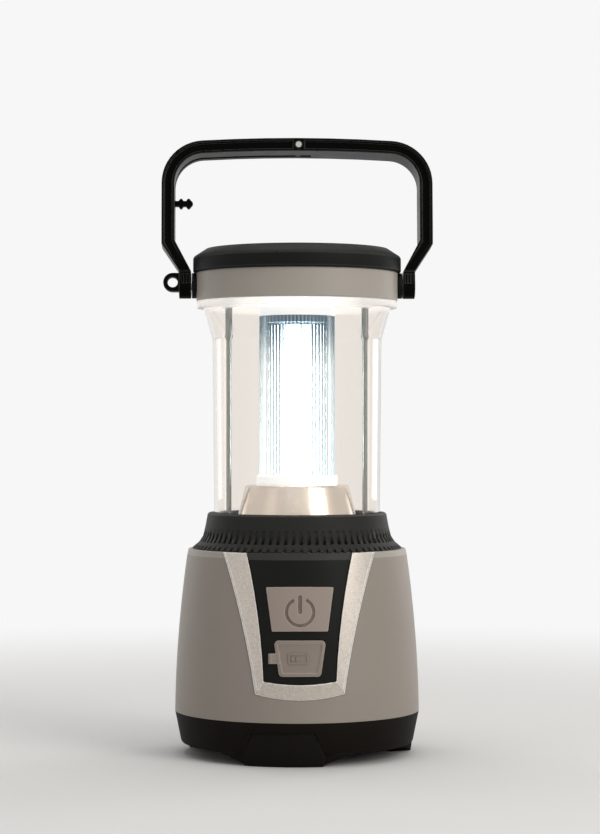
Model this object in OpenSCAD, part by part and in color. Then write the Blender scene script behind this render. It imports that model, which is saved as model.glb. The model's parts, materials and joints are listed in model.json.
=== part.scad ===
// Rechargeable camping lantern with a folding bail and a stowed hanging hook.
// Millimetres. The origin is the centre of the base on the ground, +Z is up, the panel faces -Y.

/* [Body] */
// Outer diameter at the seam between the skirt and the body shell
seam_d = 110.6; // [92:0.2:134]
// Height of the body shell above the seam
shell_h = 73; // [72:0.5:96]
// How far the side of the shell bows outward between its ends
shell_bulge = 1.1; // [0:0.1:2]
// Wall of the body shell
shell_wall = 2.4; // [2:0.1:3]
// Height of the chamfered band at the top of the shell
shoulder_h = 3; // [1:0.5:5]
// How far that band leans in
shoulder_in = 0.65; // [0:0.05:1.5]
// Width of the ledge left round the coupling ring
ring_ledge = 1.7; // [0.6:0.1:4]

/* [Skirt and feet] */
// Height of the skirt from its lower edge to the seam
skirt_h = 14.4; // [12:0.2:20]
// How far the skirt draws in towards its lower edge
skirt_in = 2.6; // [0:0.1:5]
// Wall and floor of the skirt
skirt_wall = 3; // [2.6:0.1:4]
// Height of the feet under the skirt
foot_h = 5; // [3:0.5:8]
// Half width of a foot where it stands
foot_half_w = 17; // [12:0.5:20]
// Turn of the first foot from the front, about the vertical axis
foot_turn = -8; // [-30:1:30]

/* [Control panel] */
// Width of the panel at the top of the shell
panel_top_w = 47; // [40:0.5:52]
// Width of the panel at its lower edge
panel_low_w = 31.6; // [26:0.2:36]
// Height of the panel's lower corners above the seam
panel_low_h = 17.8; // [12:0.2:24]
// Width of the frame's arms at the top
bezel_arm_top = 10.4; // [6:0.2:12]
// Width of the frame's arms at the bottom corners
bezel_arm_low = 3.6; // [2:0.2:6]
// Height of the frame's lower bar
bezel_bar = 5.6; // [4:0.2:8]
// How far the frame stands proud of the shell
bezel_proud = 0.9; // [0.4:0.1:1.5]
// Thickness of the panel
panel_t = 2.2; // [1.8:0.1:3]

/* [Power button] */
// Height of the button
button_h = 19.2; // [14:0.2:22]
// Width of the button at its top edge
button_top_w = 29.4; // [22:0.2:32]
// Width of the button at its lower edge
button_low_w = 24.3; // [18:0.2:28]
// Height of the button's centre above the seam
button_z = 49.1; // [44:0.1:52]
// Travel of the button
button_travel = 0.8; // [0.4:0.1:1.2]

/* [Port cover] */
// Height of the cover
cover_h = 15.6; // [13:0.2:17]
// Width of the cover at its top edge
cover_top_w = 22.7; // [18:0.1:25]
// Width of the cover at its lower edge
cover_low_w = 18.1; // [16:0.1:22]
// Height of the cover's centre above the seam
cover_z = 27.9; // [26:0.1:30]

/* [Coupling ring] */
// Height of the ring
ring_h = 15.9; // [14:0.1:22]
// Wall of the ring where it stands on the shell
ring_foot_wall = 4.3; // [3:0.1:6]
// Number of grip grooves round the ring
grip_count = 80; // [48:2:96]
// Depth of the grip grooves
grip_depth = 0.7; // [0.3:0.1:1]

/* [Globe and lamp] */
// Outer diameter of the globe at its foot
globe_d = 75.2; // [70:0.2:92]
// Height of the globe that shows between the ring and the head
globe_show_h = 95.7; // [80:0.1:120]
// Wall of the globe
globe_wall = 2; // [1.5:0.1:2.6]
// How far the flare at the top of the globe widens it
globe_flare = 4.0; // [2:0.1:6]
// Outer diameter of the ribbed diffuser
diffuser_d = 34.2; // [30:0.2:40]
// Number of ribs round the diffuser
rib_count = 60; // [36:1:72]
// Width across the flats of the hexagonal heat-sink post
post_af = 12.6; // [10:0.2:14]
// Diameter of the reflector at its top edge
reflector_top_d = 47.4; // [44:0.2:50]
// Height of the reflector's top above the ring
reflector_up = 12.3; // [8:0.1:20]
// Diameter of a tie rod
rod_d = 2.4; // [2:0.1:3]
// Distance between the axes of the tie rods
rod_spread = 62; // [60:0.5:66]

/* [Head] */
// Height of the head's light band
head_h = 13; // [12:0.1:18]
// Wall of the band
head_wall = 2.4; // [2:0.1:3]
// Height of the cap above the band
cap_h = 11.9; // [9:0.1:16]
// How far the cap overhangs the band
cap_over = 1.5; // [0.5:0.1:2.2]

/* [Bail and hook] */
// Distance from the pivot axis to the top of the bail
bail_reach = 66.5; // [62:0.5:84]
// Depth of the bail, front to back
bail_depth = 18; // [15:0.5:22]
// Thickness of the bail in the front view
bail_t = 5.9; // [5:0.1:8]
// How far the handle stands outside its knuckles
bail_spread = 7.9; // [4:0.1:12]
// Radius of the handle's outer corners
bail_corner_r = 19.5; // [14:0.5:26]
// Angle at which the bail rests, leaning back
bail_lean = 5; // [0:1:10]
// Diameter of the knuckles on the pivot axis
knuckle_d = 11.8; // [10:0.1:11.8]
// Width of a knuckle along the pivot axis
knuckle_w = 5.5; // [4.5:0.1:7]
// Diameter of the hole in the lanyard eye
eye_bore = 4.6; // [3:0.1:5]
// Thickness of the stowed hook
hook_t = 2.4; // [1.8:0.1:3.2]
// Width of the hook's arm
hook_w = 3.6; // [3:0.1:4.4]

/* [Hidden] */

$fn = 96;

// Clearances
fit = 0.1;          // pieces that are fixed to each other
through_in = 8;     // how far cuts in the shell's front reach in
through_out = 6;    // and how far they reach out of it
slide_fit = 0.3;    // pieces that move past each other
pin_fit = 0.05;     // a pin in its bore, on the radius

// Heights
z_seam = foot_h + skirt_h;
z_top = z_seam + shell_h;
z_shoulder = z_top - shoulder_h;
ring_gap = 0.4;
z_ring = z_top + ring_gap;
z_rim = z_ring + ring_h;
z_head = z_rim + globe_show_h;
z_cap = z_head + head_h;
z_pivot = z_head + 7.1;

// Radii of the coupling, from the globe outward
globe_r = globe_d / 2;
deck_wall = 1.6;
deck_wall_r = globe_r + slide_fit + deck_wall;
ring_bore_r = deck_wall_r + slide_fit + fit;
deck_flange_r = ring_bore_r + 1.6;
neck_r = deck_flange_r + slide_fit;
neck_wall = 2.3;
lug_r = neck_r + 1.1;
ring_foot_bore_r = lug_r + slide_fit;
ring_foot_r = ring_foot_bore_r + ring_foot_wall;
ring_rim_w = 1.6;
ring_rim_r = globe_r + slide_fit + 0.2 + ring_rim_w;
shell_top_r = ring_foot_r + ring_ledge;
seam_r = seam_d / 2;
shoulder_r = shell_top_r + shoulder_in;

// Heights inside the coupling
neck_h = 3.2;
lug_h = 1.4;
lug_arc = 25;
ring_lock_turn = 30;
z_neck = z_top + neck_h;
deck_flange_t = 2;
z_deck_flange = z_neck + slide_fit + deck_flange_t;
z_seat = z_rim - 7.2;
seal_t = 0.8;
deck_step = 2;
z_deck = z_seat + deck_step;
deck_t = 5;

// Head and globe
globe_top_r = globe_r + 0.8;
z_flare = z_head - 17.4;
lip_h = 3.2;
lip_out = 3;
flare_r = globe_top_r + globe_flare;
lip_r = flare_r + lip_out;
head_r = lip_r + 0.3;
head_floor = 1.6;
z_head_plate = z_head + head_floor;
head_plate_t = 2.4;
cap_r = head_r + cap_over;

// Lamp
z_reflector = z_rim + reflector_up;
collar_low_h = 4.5;
collar_top_h = 8.2;
diffuser_r = diffuser_d / 2;
diffuser_wall = 1.5;
collar_floor = 1.5;
z_diffuser = z_reflector + collar_floor;
z_collar_top = z_head_plate - collar_top_h;
post_corner_r = post_af / 2 / cos(30);
strip_t = 1;
led_t = 0.7;

// ---------------------------------------------------------------- shared functions

// Radius of the shell's outside at height z
function shell_r(z) =
  z > z_shoulder
    ? shoulder_r - (z - z_shoulder) * shoulder_in / shoulder_h
    : let (t = (z - z_seam) / (z_shoulder - z_seam))
      seam_r + (shoulder_r - seam_r) * t + 4 * shell_bulge * t * (1 - t);

// Lean of the shell's side at height z
function shell_tilt(z) = atan(shell_r(z - 0.5) - shell_r(z + 0.5));

shell_steps = 12;
function shell_levels(z0, z1) = concat(
  [z0],
  [for (i = [0:shell_steps])
    let (z = z_seam + (z_shoulder - z_seam) * i / shell_steps)
    if (z > z0 + 0.2 && z < z1 - 0.2) z],
  [z1]);

function reversed(list) = [for (i = [len(list) - 1:-1:0]) list[i]];
function unit(v) = v / norm(v);
function turned(a) = (a + 540) % 360 - 180;

// Points of the arc that rounds corner b between a and c
function corner_arc(a, b, c, r, steps) =
  let (u = unit(a - b),
       v = unit(c - b),
       half = acos(u * v) / 2,
       centre = b + unit(u + v) * r / sin(half),
       from = b + u * r / tan(half) - centre,
       to = b + v * r / tan(half) - centre,
       start = atan2(from.y, from.x),
       sweep = turned(atan2(to.y, to.x) - start))
  [for (i = [0:steps]) centre + r * [cos(start + sweep * i / steps), sin(start + sweep * i / steps)]];

// A closed outline with all its corners rounded
function rounded(points, r, steps = 6) =
  let (n = len(points))
  [for (i = [0:n - 1])
    each corner_arc(points[(i + n - 1) % n], points[i], points[(i + 1) % n], r, steps)];

// A symmetric trapezoid about the origin, widened all round by grow
function trapezoid(top_w, low_w, h, grow = 0) = [
  [-top_w / 2 - grow, h / 2 + grow], [-low_w / 2 - grow, -h / 2 - grow],
  [low_w / 2 + grow, -h / 2 - grow], [top_w / 2 + grow, h / 2 + grow]];

function rectangle(w, h) = trapezoid(w, w, h);

// Points from p to q on a shallow curve that bows out by bow, to the right of the way from p to q
function bowed(p, q, bow, steps) =
  let (d = unit(q - p), side = [d.y, -d.x])
  [for (i = [0:steps]) let (t = i / steps) p + (q - p) * t + side * bow * 4 * t * (1 - t)];

// ---------------------------------------------------------------- shared modules

// A ring between the shell's surface moved by lo and by hi, across the front of the body
module shell_layer(lo, hi, z0, z1, arc = 100) {
  levels = shell_levels(z0, z1);
  rotate([0, 0, -90 - arc / 2])
    rotate_extrude(angle = arc)
      polygon(concat(
        [for (z = levels) [shell_r(z) + hi, z]],
        [for (z = reversed(levels)) [shell_r(z) + lo, z]]));
}

// Extrudes an outline drawn in the front view from y = -near to y = -far
module front_prism(points, near = 20, far = 75) {
  translate([0, -near, 0])
    rotate([90, 0, 0])
      linear_extrude(height = far - near)
        polygon(points);
}

// Puts children on the shell's front at height z, with their z axis pointing out of it
module on_front(z) {
  translate([0, -shell_r(z), z])
    rotate([90 - shell_tilt(z), 0, 0])
      children();
}

// Extrudes an outline through the shell's front at height z, square to its surface there
module through_front(z, outline) {
  on_front(z)
    translate([0, 0, -through_in])
      linear_extrude(height = through_in + through_out)
        polygon(outline);
}

// A cylinder along +X from x0 to x1
module rod_x(r, x0, x1) {
  translate([x0, 0, 0])
    rotate([0, 90, 0])
      cylinder(r = r, h = x1 - x0);
}

// A cylinder along +Y from y0 to y1
module rod_y(r, y0, y1) {
  translate([0, y0, 0])
    rotate([-90, 0, 0])
      cylinder(r = r, h = y1 - y0);
}

// A screw with its head's underside at the origin and its shank along +Z
module screw(d, length, head_d, head_t) {
  translate([0, 0, -head_t / 2])
    cylinder(r = d / 2, h = length + head_t / 2, $fn = 32);
  translate([0, 0, -head_t])
    cylinder(r = head_d / 2, h = head_t, $fn = 32);
}

// Repeats children at equal turns round the body's axis
module around(count, first = 0) {
  for (i = [0:count - 1])
    rotate([0, 0, first + i * 360 / count])
      children();
}

// ---------------------------------------------------------------- skirt and feet

skirt_low_r = seam_r - skirt_in;
skirt_edge = 1.6;
skirt_floor_z = foot_h + skirt_wall;
spigot_h = 4;
spigot_t = 1.6;
foot_count = 3;
foot_in = 0.8;
foot_side_t = 1;
foot_side_h = 9.8;
foot_side_half_w = 13.9;
foot_knee = 0.7;
foot_ramp = 11;
foot_lift = 0.8;
foot_inner_r = seam_r - 15;
foot_stud_r = 2.5;
foot_stud_at = foot_inner_r + 5;
base_screw_d = 3;
base_screw_at = shell_top_r - 11.3;
base_screw_turn = foot_turn + 60;
base_boss_r = 4;
base_boss_h = 3;
cradle_boss_r = 3;
foot_stud_up = 0.6;

function skirt_r(z) = skirt_low_r + skirt_in * (z - foot_h) / skirt_h;

// Outline of a rubber foot in its front view, grown by its clearance
function foot_outline(grow) = [
  [-foot_half_w - 1 - grow, foot_h - foot_knee], [-foot_half_w - grow, -1],
  [foot_half_w + grow, -1], [foot_half_w + 1 + grow, foot_h - foot_knee],
  [foot_side_half_w + grow, foot_h + foot_side_h + grow],
  [-foot_side_half_w - grow, foot_h + foot_side_h + grow]];

// Section of a rubber foot: a block under the skirt and a thin plate up its side
function foot_section(grow) = [
  [foot_inner_r - grow, 0], [skirt_low_r - foot_in, 0],
  [skirt_r(foot_h + foot_side_h) - foot_in + grow * 8, foot_h + foot_side_h + grow],
  [skirt_r(foot_h + foot_side_h) - foot_in - foot_side_t - grow, foot_h + foot_side_h + grow],
  [skirt_low_r - foot_in - foot_side_t - grow, foot_h + grow], [foot_inner_r - grow, foot_h + grow]];

module foot_body(grow, section) {
  intersection() {
    front_prism(foot_outline(grow), foot_inner_r - 2, seam_r + 3);
    rotate([0, 0, -120])
      rotate_extrude(angle = 60)
        polygon(section);
  }
}

// The room a foot takes out of the skirt, open to the outside
function foot_pocket_section() = [
  [foot_inner_r - fit, -2], [seam_r + 2, -2], [seam_r + 2, foot_h + foot_side_h + fit],
  [skirt_r(foot_h + foot_side_h) - foot_in - foot_side_t - fit, foot_h + foot_side_h + fit],
  [skirt_low_r - foot_in - foot_side_t - fit, foot_h], [foot_inner_r - fit, foot_h]];

// Moulded lobe of the skirt that carries one foot, with ramped ends
module foot_lobe() {
  intersection() {
    front_prism([
      [-foot_half_w - foot_ramp, foot_h + 1], [-foot_half_w - foot_ramp, foot_h - 0.3],
      [-foot_half_w - 0.5, foot_lift], [foot_half_w + 0.5, foot_lift],
      [foot_half_w + foot_ramp, foot_h - 0.3], [foot_half_w + foot_ramp, foot_h + 1]],
      foot_inner_r - 4, seam_r);
    rotate([0, 0, -140])
      rotate_extrude(angle = 100)
        polygon([
          [foot_inner_r - 2, foot_lift - 1], [skirt_low_r - 1.2, foot_lift - 1],
          [skirt_low_r - 0.5, foot_h + 1], [foot_inner_r - 2, foot_h + 1]]);
  }
}

module base_skirt() {
  levels = shell_levels(z_seam, z_seam + spigot_h);
  color([0.10, 0.085, 0.075])
    difference() {
      union() {
        rotate_extrude()
          polygon(concat(
            [[0, foot_h], [skirt_low_r - skirt_edge, foot_h]],
            [for (i = [1:5]) let (a = -90 + 80 * i / 5)
              [skirt_low_r - skirt_edge + skirt_edge * cos(a), foot_h + skirt_edge + skirt_edge * sin(a)]],
            [[seam_r, z_seam]],
            [for (z = levels) [shell_r(z) - shell_wall - fit, z]],
            [for (z = reversed(levels)) [shell_r(z) - shell_wall - fit - spigot_t, z]],
            [[skirt_low_r - skirt_wall, skirt_floor_z], [0, skirt_floor_z]]));
        around(foot_count, foot_turn)
          foot_lobe();
        around(foot_count, base_screw_turn - 90)
          translate([base_screw_at, 0, skirt_floor_z - skirt_wall / 2])
            cylinder(r = base_boss_r, h = skirt_wall / 2 + base_boss_h);
        around(4, 45)
          translate([cradle_screw_at, 0, skirt_floor_z - skirt_wall / 2])
            cylinder(r = cradle_boss_r, h = skirt_wall / 2 + cradle_rest);
      }
      around(foot_count, foot_turn) {
        foot_body(fit, foot_pocket_section());
        translate([0, -foot_stud_at, foot_h - 1])
          cylinder(r = foot_stud_r + fit, h = skirt_wall + 2);
      }
      around(foot_count, base_screw_turn - 90)
        translate([base_screw_at, 0, foot_h - 1]) {
          cylinder(r = base_screw_d / 2 + 0.2, h = 12);
          cylinder(r = 3.2, h = 1 + skirt_wall - 0.6);
        }
      around(4, 45)
        translate([cradle_screw_at, 0, skirt_floor_z])
          cylinder(r = 1, h = cradle_rest + 1);
    }
}

module rubber_feet() {
  color([0.13, 0.12, 0.11])
    around(foot_count, foot_turn) {
      foot_body(0, foot_section(0));
      translate([0, -foot_stud_at, foot_h / 2])
        cylinder(r = foot_stud_r, h = foot_h / 2 + skirt_wall + foot_stud_up);
    }
}

module base_screws() {
  color([0.55, 0.55, 0.56])
    around(foot_count, base_screw_turn - 90)
      translate([base_screw_at, 0, foot_h + skirt_wall - 0.6])
        screw(base_screw_d, 12, 5.6, 1.8);
}

// ---------------------------------------------------------------- body shell and panel

// Outline of the panel's opening in the front view, moved outward by side on the
// arms at the top and the bottom and by low on the lower bar
side_bow = 1.35;
panel_bow = 1.3;
bezel_bow = 2.4;
function vee(side_top, side_low, low, bow, rise = 2) =
  let (top = z_top + rise,
       bottom = z_seam + panel_low_h - low,
       tl = [-panel_top_w / 2 - side_top, top],
       bl = [-panel_low_w / 2 - side_low, bottom],
       br = [panel_low_w / 2 + side_low, bottom],
       tr = [panel_top_w / 2 + side_top, top],
       left = bowed(tl, bl, -side_bow, 6),
       base = bowed(bl, br, bow, 6),
       right = bowed(br, tr, -side_bow, 6))
  concat(left, [for (i = [1:6]) base[i]], [for (i = [1:6]) right[i]]);

function panel_outline(grow) = vee(grow, grow, grow, panel_bow);
function bezel_outline(grow) =
  vee(bezel_arm_top + grow, bezel_arm_low + grow, bezel_bar + grow, bezel_bow);

flange_w = 2;
flange_t = 1.1;
bezel_sunk = 0.8;
bezel_step = 0.9;
bar_slope = 0.09;
z_panel_low = z_seam + panel_low_h - bezel_bar - bezel_bow - 4;
board_w = 42;
board_h = 50;
board_t = 1.6;
board_z = z_seam + 20;
board_deep = 17;
board_corner_y = -sqrt(pow(shell_r(board_z + board_h) - panel_t, 2) - pow(board_w / 2, 2));
board_y = max(-shell_r(z_seam + cover_z) + board_deep, board_corner_y + 2 * slide_fit);
post_x = panel_low_w / 2 - 1;
post_r = 2.6;
board_screw_z = [board_z + 4, board_z + board_h - 4];

module shell_profile() {
  levels = shell_levels(z_seam, z_shoulder);
  inner = shell_levels(z_seam, z_top - shell_wall);
  rotate_extrude()
    polygon(concat(
      [for (z = levels) [shell_r(z), z]],
      [[shell_top_r, z_top], [neck_r, z_top], [neck_r, z_neck],
       [neck_r - neck_wall, z_neck], [neck_r - neck_wall, z_top - shell_wall]],
      [for (z = reversed(inner)) [shell_r(z) - shell_wall, z]]));
}

// Bosses in the shell's corners that take the screws through the skirt
module shell_bosses() {
  around(foot_count, base_screw_turn - 90)
    difference() {
      union() {
        translate([base_screw_at, 0, skirt_floor_z + base_boss_h + fit])
          cylinder(r = base_boss_r, h = z_top - shell_wall - skirt_floor_z - base_boss_h);
        translate([base_screw_at, -0.8, z_seam + spigot_h + 1])
          cube([shell_top_r - shell_wall - base_screw_at + 1.2, 1.6,
                z_top - z_seam - spigot_h - 1 - shell_wall / 2]);
      }
      translate([base_screw_at, 0, skirt_floor_z])
        cylinder(r = base_screw_d / 2 + 0.02, h = 16);
    }
}

module body_shell() {
  color([0.60, 0.56, 0.52])
    difference() {
      union() {
        shell_profile();
        intersection() {
          shell_bosses();
          rotate_extrude()
            polygon(concat(
              [[0, 0], [0, z_top - shell_wall / 2]],
              [for (z = reversed(shell_levels(z_seam, z_top - shell_wall / 2)))
                [shell_r(z) - shell_wall / 2, z]],
              [[shell_r(z_seam) - shell_wall - spigot_t - 0.6, z_seam],
               [shell_r(z_seam) - shell_wall - spigot_t - 0.6, 0]]));
        }
        around(3)
          rotate([0, 0, -lug_arc / 2])
            rotate_extrude(angle = lug_arc)
              translate([neck_r - 0.5, z_neck - lug_h])
                square([lug_r - neck_r + 0.5, lug_h]);
      }
      intersection() {
        front_prism(panel_outline(flange_w + fit));
        shell_layer(-shell_wall - 0.5, 3, z_panel_low, z_top + 1);
      }
      intersection() {
        front_prism(bezel_outline(fit));
        shell_layer(-bezel_sunk - fit, 3, z_panel_low, z_top + 1);
      }
    }
}

// What a slanted cut takes off the frame's lower bar, between its mitres with the arms
module bar_slant() {
  z_low = z_seam + panel_low_h;
  corner = [panel_low_w / 2, z_low];
  reach = corner + 3 * [bezel_arm_low, -bezel_bar];
  intersection() {
    front_prism([[-corner.x, z_low], corner, reach, [-reach.x, reach.y]]);
    rotate([0, 0, -140])
      rotate_extrude(angle = 100)
        polygon(concat(
          [for (z = shell_levels(z_panel_low, z_low))
            [shell_r(z) + bezel_proud - bar_slope * (z_low - z), z]],
          [[seam_r + through_out, z_low], [seam_r + through_out, z_panel_low]]));
  }
}

module bezel_frame() {
  color([0.78, 0.76, 0.73])
    difference() {
      intersection() {
        front_prism(bezel_outline(0));
        union() {
          shell_layer(-bezel_sunk, bezel_proud * 0.55, z_panel_low, z_top);
          intersection() {
            shell_layer(-bezel_sunk, bezel_proud, z_panel_low, z_top);
            front_prism(vee(bezel_arm_top - bezel_step, bezel_arm_low - bezel_step,
                            bezel_bar - bezel_step, bezel_bow));
          }
        }
      }
      bar_slant();
      front_prism(panel_outline(0));
    }
}

button_corner_r = 0.5;
button_proud = 0.8;
button_flange_w = 1.4;
button_flange_t = 1.4;
button_stem_r = 2;
button_outline = rounded(trapezoid(button_top_w, button_low_w, button_h), button_corner_r);
button_hole = rounded(
  trapezoid(button_top_w, button_low_w, button_h, slide_fit), button_corner_r + slide_fit);
button_flange = rounded(
  trapezoid(button_top_w, button_low_w, button_h, button_flange_w), button_corner_r + 0.4);
cover_corner_r = 1.8;
cover_outline = rounded(trapezoid(cover_top_w, cover_low_w, cover_h), cover_corner_r);
cover_pocket = rounded(
  trapezoid(cover_top_w, cover_low_w, cover_h, slide_fit), cover_corner_r + slide_fit);
cover_sunk = 1;
cover_proud = 0.8;
cover_border = 1.5;
cover_dish = 0.5;
tab_h = 4.5;
barrel_x = -cover_top_w / 2 - 1.6;
barrel_r = 0.8;
barrel_sunk = 0.4;
tab_t = 1;
tab_top = 0.1;
tab_marks = 3;
tab_mark_deep = 0.25;
tab_mark_long = 3.2;
tab_mark_w = 0.5;
tab_mark_pitch = 1.2;
port_w = 14.6;
port_h = 12.4;
port_corner_r = 1;
symbol_r = 6.6;
symbol_line = 1.5;
symbol_deep = 0.6;
symbol_low = 1.3;
symbol_gap = 32;
symbol_bar_w = 1.8;
symbol_bar_h = 6.4;

module control_panel() {
  z_button = z_seam + button_z;
  z_cover = z_seam + cover_z;
  color([0.13, 0.13, 0.12])
    difference() {
      union() {
        intersection() {
          front_prism(panel_outline(-fit));
          shell_layer(-panel_t, 0, z_panel_low, z_top);
        }
        intersection() {
          front_prism(panel_outline(flange_w));
          shell_layer(-panel_t, -flange_t, z_panel_low, z_top);
        }
        for (x = [-post_x, post_x])
          for (z = board_screw_z)
            intersection() {
              translate([x, 0, z])
                rod_y(post_r, -60, board_y);
              shell_layer(-30, -panel_t / 2, z_panel_low - 9, z_top);
            }
      }
      through_front(z_button, button_hole);
      intersection() {
        through_front(z_cover, cover_pocket);
        shell_layer(-cover_sunk - fit, 5, z_panel_low, z_top);
      }
      through_front(z_cover, rounded(rectangle(port_w, port_h), port_corner_r));
      on_front(z_cover) {
        translate([barrel_x, 0, -barrel_sunk])
          rotate([90, 0, 0])
            cylinder(r = barrel_r + fit, h = tab_h + 2 * slide_fit, center = true);
        translate([barrel_x, -tab_h / 2 - slide_fit, -barrel_sunk - barrel_r - fit])
          cube([-barrel_x - cover_low_w / 2, tab_h + 2 * slide_fit, through_out]);
      }
      for (x = [-post_x, post_x])
        for (z = board_screw_z)
          translate([x, 0, z])
            rod_y(0.85, board_y - 6, board_y + 1);
    }
}

// The power symbol as one flat shape: a broken ring and an upright bar, all with round ends
module power_symbol() {
  gap_end = [sin(symbol_gap), cos(symbol_gap)];
  difference() {
    circle(r = symbol_r);
    circle(r = symbol_r - symbol_line);
    polygon([[0, 0], 2 * symbol_r * gap_end, 2 * symbol_r * [-gap_end.x, gap_end.y]]);
  }
  for (side = [-1, 1])
    translate((symbol_r - symbol_line / 2) * [side * gap_end.x, gap_end.y])
      circle(r = symbol_line / 2);
  translate([-symbol_bar_w / 2, 0])
    square([symbol_bar_w, symbol_bar_h]);
  for (y = [0, symbol_bar_h])
    translate([0, y])
      circle(r = symbol_bar_w / 2);
}

module power_button() {
  z_button = z_seam + button_z;
  color([0.68, 0.65, 0.62])
    difference() {
      union() {
        intersection() {
          through_front(z_button, button_outline);
          shell_layer(-panel_t - button_flange_t, button_proud, z_button - button_h, z_button + button_h);
        }
        intersection() {
          through_front(z_button, button_flange);
          shell_layer(-panel_t - button_flange_t, -panel_t - slide_fit,
                      z_button - button_h, z_button + button_h);
        }
        on_front(z_button)
          translate([0, 0, -button_stem])
            cylinder(r = button_stem_r, h = button_stem - panel_t);
      }
      intersection() {
        on_front(z_button)
          translate([0, -symbol_low, -through_in])
            linear_extrude(height = through_in + through_out)
              power_symbol();
        shell_layer(button_proud - symbol_deep, 3, z_button - button_h, z_button + button_h);
      }
    }
}

module port_cover() {
  z_cover = z_seam + cover_z;
  color([0.62, 0.60, 0.57])
    union() {
      difference() {
        intersection() {
          through_front(z_cover, cover_outline);
          shell_layer(-cover_sunk, cover_proud, z_cover - cover_h, z_cover + cover_h);
        }
        intersection() {
          through_front(z_cover, rounded(
            trapezoid(cover_top_w, cover_low_w, cover_h, -cover_border), cover_corner_r / 2));
          shell_layer(cover_proud - cover_dish, 3, z_cover - cover_h, z_cover + cover_h);
        }
      }
      on_front(z_cover) {
        difference() {
          translate([0, 0, -plug_deep])
            linear_extrude(height = plug_deep - 0.6)
              polygon(rounded(rectangle(port_w - 1, port_h - 1), 0.8));
          translate([0, 0, -plug_deep - 1])
            linear_extrude(height = plug_deep)
              polygon(rounded(rectangle(port_w - 3, port_h - 3), 0.5));
        }
        translate([barrel_x, 0, -barrel_sunk])
          rotate([90, 0, 0])
            cylinder(r = barrel_r, h = tab_h, center = true);
        difference() {
          translate([barrel_x, -tab_h / 2, tab_top - tab_t])
            cube([-barrel_x - cover_low_w / 2 + 0.2, tab_h, tab_t]);
          for (i = [0:tab_marks - 1])
            translate([barrel_x - 1, (i - (tab_marks - 1) / 2) * tab_mark_pitch - tab_mark_w / 2,
                       tab_top - tab_mark_deep])
              cube([tab_mark_long, tab_mark_w, 1]);
        }
      }
    }
}

// ---------------------------------------------------------------- electronics

plug_deep = 2;
socket_face = 2.6;
button_stem = 6;
switch_gap = button_travel + 0.15;

module control_board() {
  color([0.10, 0.30, 0.18])
    difference() {
      union() {
        translate([-board_w / 2, board_y, board_z])
          cube([board_w, board_t, board_h]);
        translate([-6, board_y + board_t, board_z + 14])
          cube([12, 5, 12]);
        translate([9, board_y + board_t, board_z + 30])
          cube([7, 1.6, 7]);
      }
      for (x = [-post_x, post_x])
        for (z = board_screw_z)
          translate([x, 0, z])
            rod_y(1.15, board_y - 1, board_y + board_t + 1);
    }
}

module board_screws() {
  color([0.55, 0.55, 0.56])
    for (x = [-post_x, post_x])
      for (z = board_screw_z)
        translate([x, board_y + board_t, z])
          rotate([90, 0, 0])
            screw(1.6, 6, 3.4, 1.2);
}

// Depth from the front of the shell to the face of the board, along the button's axis
module button_switch() {
  z_button = z_seam + button_z;
  tilt = shell_tilt(z_button);
  stem_y = -shell_r(z_button) + (button_stem + switch_gap) * cos(tilt);
  stem_z = z_button - (button_stem + switch_gap) * sin(tilt);
  color([0.16, 0.16, 0.17])
    translate([0, 0, stem_z]) {
      translate([-3, board_y - 3.6, -3])
        cube([6, 3.6, 6]);
      rod_y(1.6, stem_y + 0.3, board_y - 3.5);
    }
}

module usb_output_socket() {
  z = z_seam + cover_z + 2.6;
  face_y = -shell_r(z) + socket_face;
  color([0.75, 0.75, 0.76])
    translate([0, 0, z])
      difference() {
        translate([-6.55, face_y, -2.85])
          cube([13.1, board_y - face_y, 5.7]);
        difference() {
          translate([-6.15, face_y - 1, -2.45])
            cube([12.3, 10, 4.9]);
          translate([-5.5, face_y + 0.6, -0.3])
            cube([11, 10, 1.9]);
        }
      }
}

module charging_socket() {
  z = z_seam + cover_z - 3.4;
  face_y = -shell_r(z) + socket_face;
  outer = rounded(rectangle(8.9, 3.2), 1.55);
  inner = rounded(rectangle(8.3, 2.6), 1.25);
  color([0.75, 0.75, 0.76])
    difference() {
      translate([0, 0, z])
        front_prism(outer, -board_y, -face_y);
      difference() {
        translate([0, 0, z])
          front_prism(inner, -face_y - 6.5, -face_y + 1);
        translate([-3.3, face_y + 0.5, z - 0.35])
          cube([6.6, 8, 0.7]);
      }
    }
}

// ---------------------------------------------------------------- battery

cell_r = 9.2;
cell_h = 65;
cell_gap = 1.4;
strip_recess = 0.2;
strip_pad_r = 4;
link_w = 3.2;
cell_ring = (2 * cell_r + cell_gap) / sqrt(3);
battery_y = 8;
cradle_wall = 1.4;
cradle_floor = 1.6;
cradle_plate_t = 1.4;
cradle_cup_h = 14;
cradle_rest = 2;
cradle_r = cell_ring + cell_r + cradle_wall;
cradle_screw_at = 28.5;
cradle_lug = 3.4;
cradle_hole_r = 1.3;
cradle_head_r = 3.2;
z_cradle = skirt_floor_z + cradle_rest;
contact_room = 0.4;
z_cell = z_cradle + cradle_floor + contact_room;
clamp_h = 5;
clamp_floor = 1.6;

module cell_places() {
  translate([0, battery_y, 0])
    around(3, 90)
      translate([cell_ring, 0, 0])
        children();
}

// The strip that joins the three cells at one end
module contact_star(grow, thickness) {
  cell_places()
    cylinder(r = strip_pad_r + grow, h = thickness);
  translate([0, battery_y, 0])
    around(3, 90)
      translate([0, -link_w / 2 - grow, 0])
        cube([cell_ring, link_w + 2 * grow, thickness]);
}

module battery_cells() {
  color([0.20, 0.42, 0.60])
    cell_places() {
      translate([0, 0, z_cell])
        cylinder(r = cell_r, h = cell_h - 1);
      translate([0, 0, z_cell])
        cylinder(r = 3, h = cell_h);
    }
}

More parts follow.
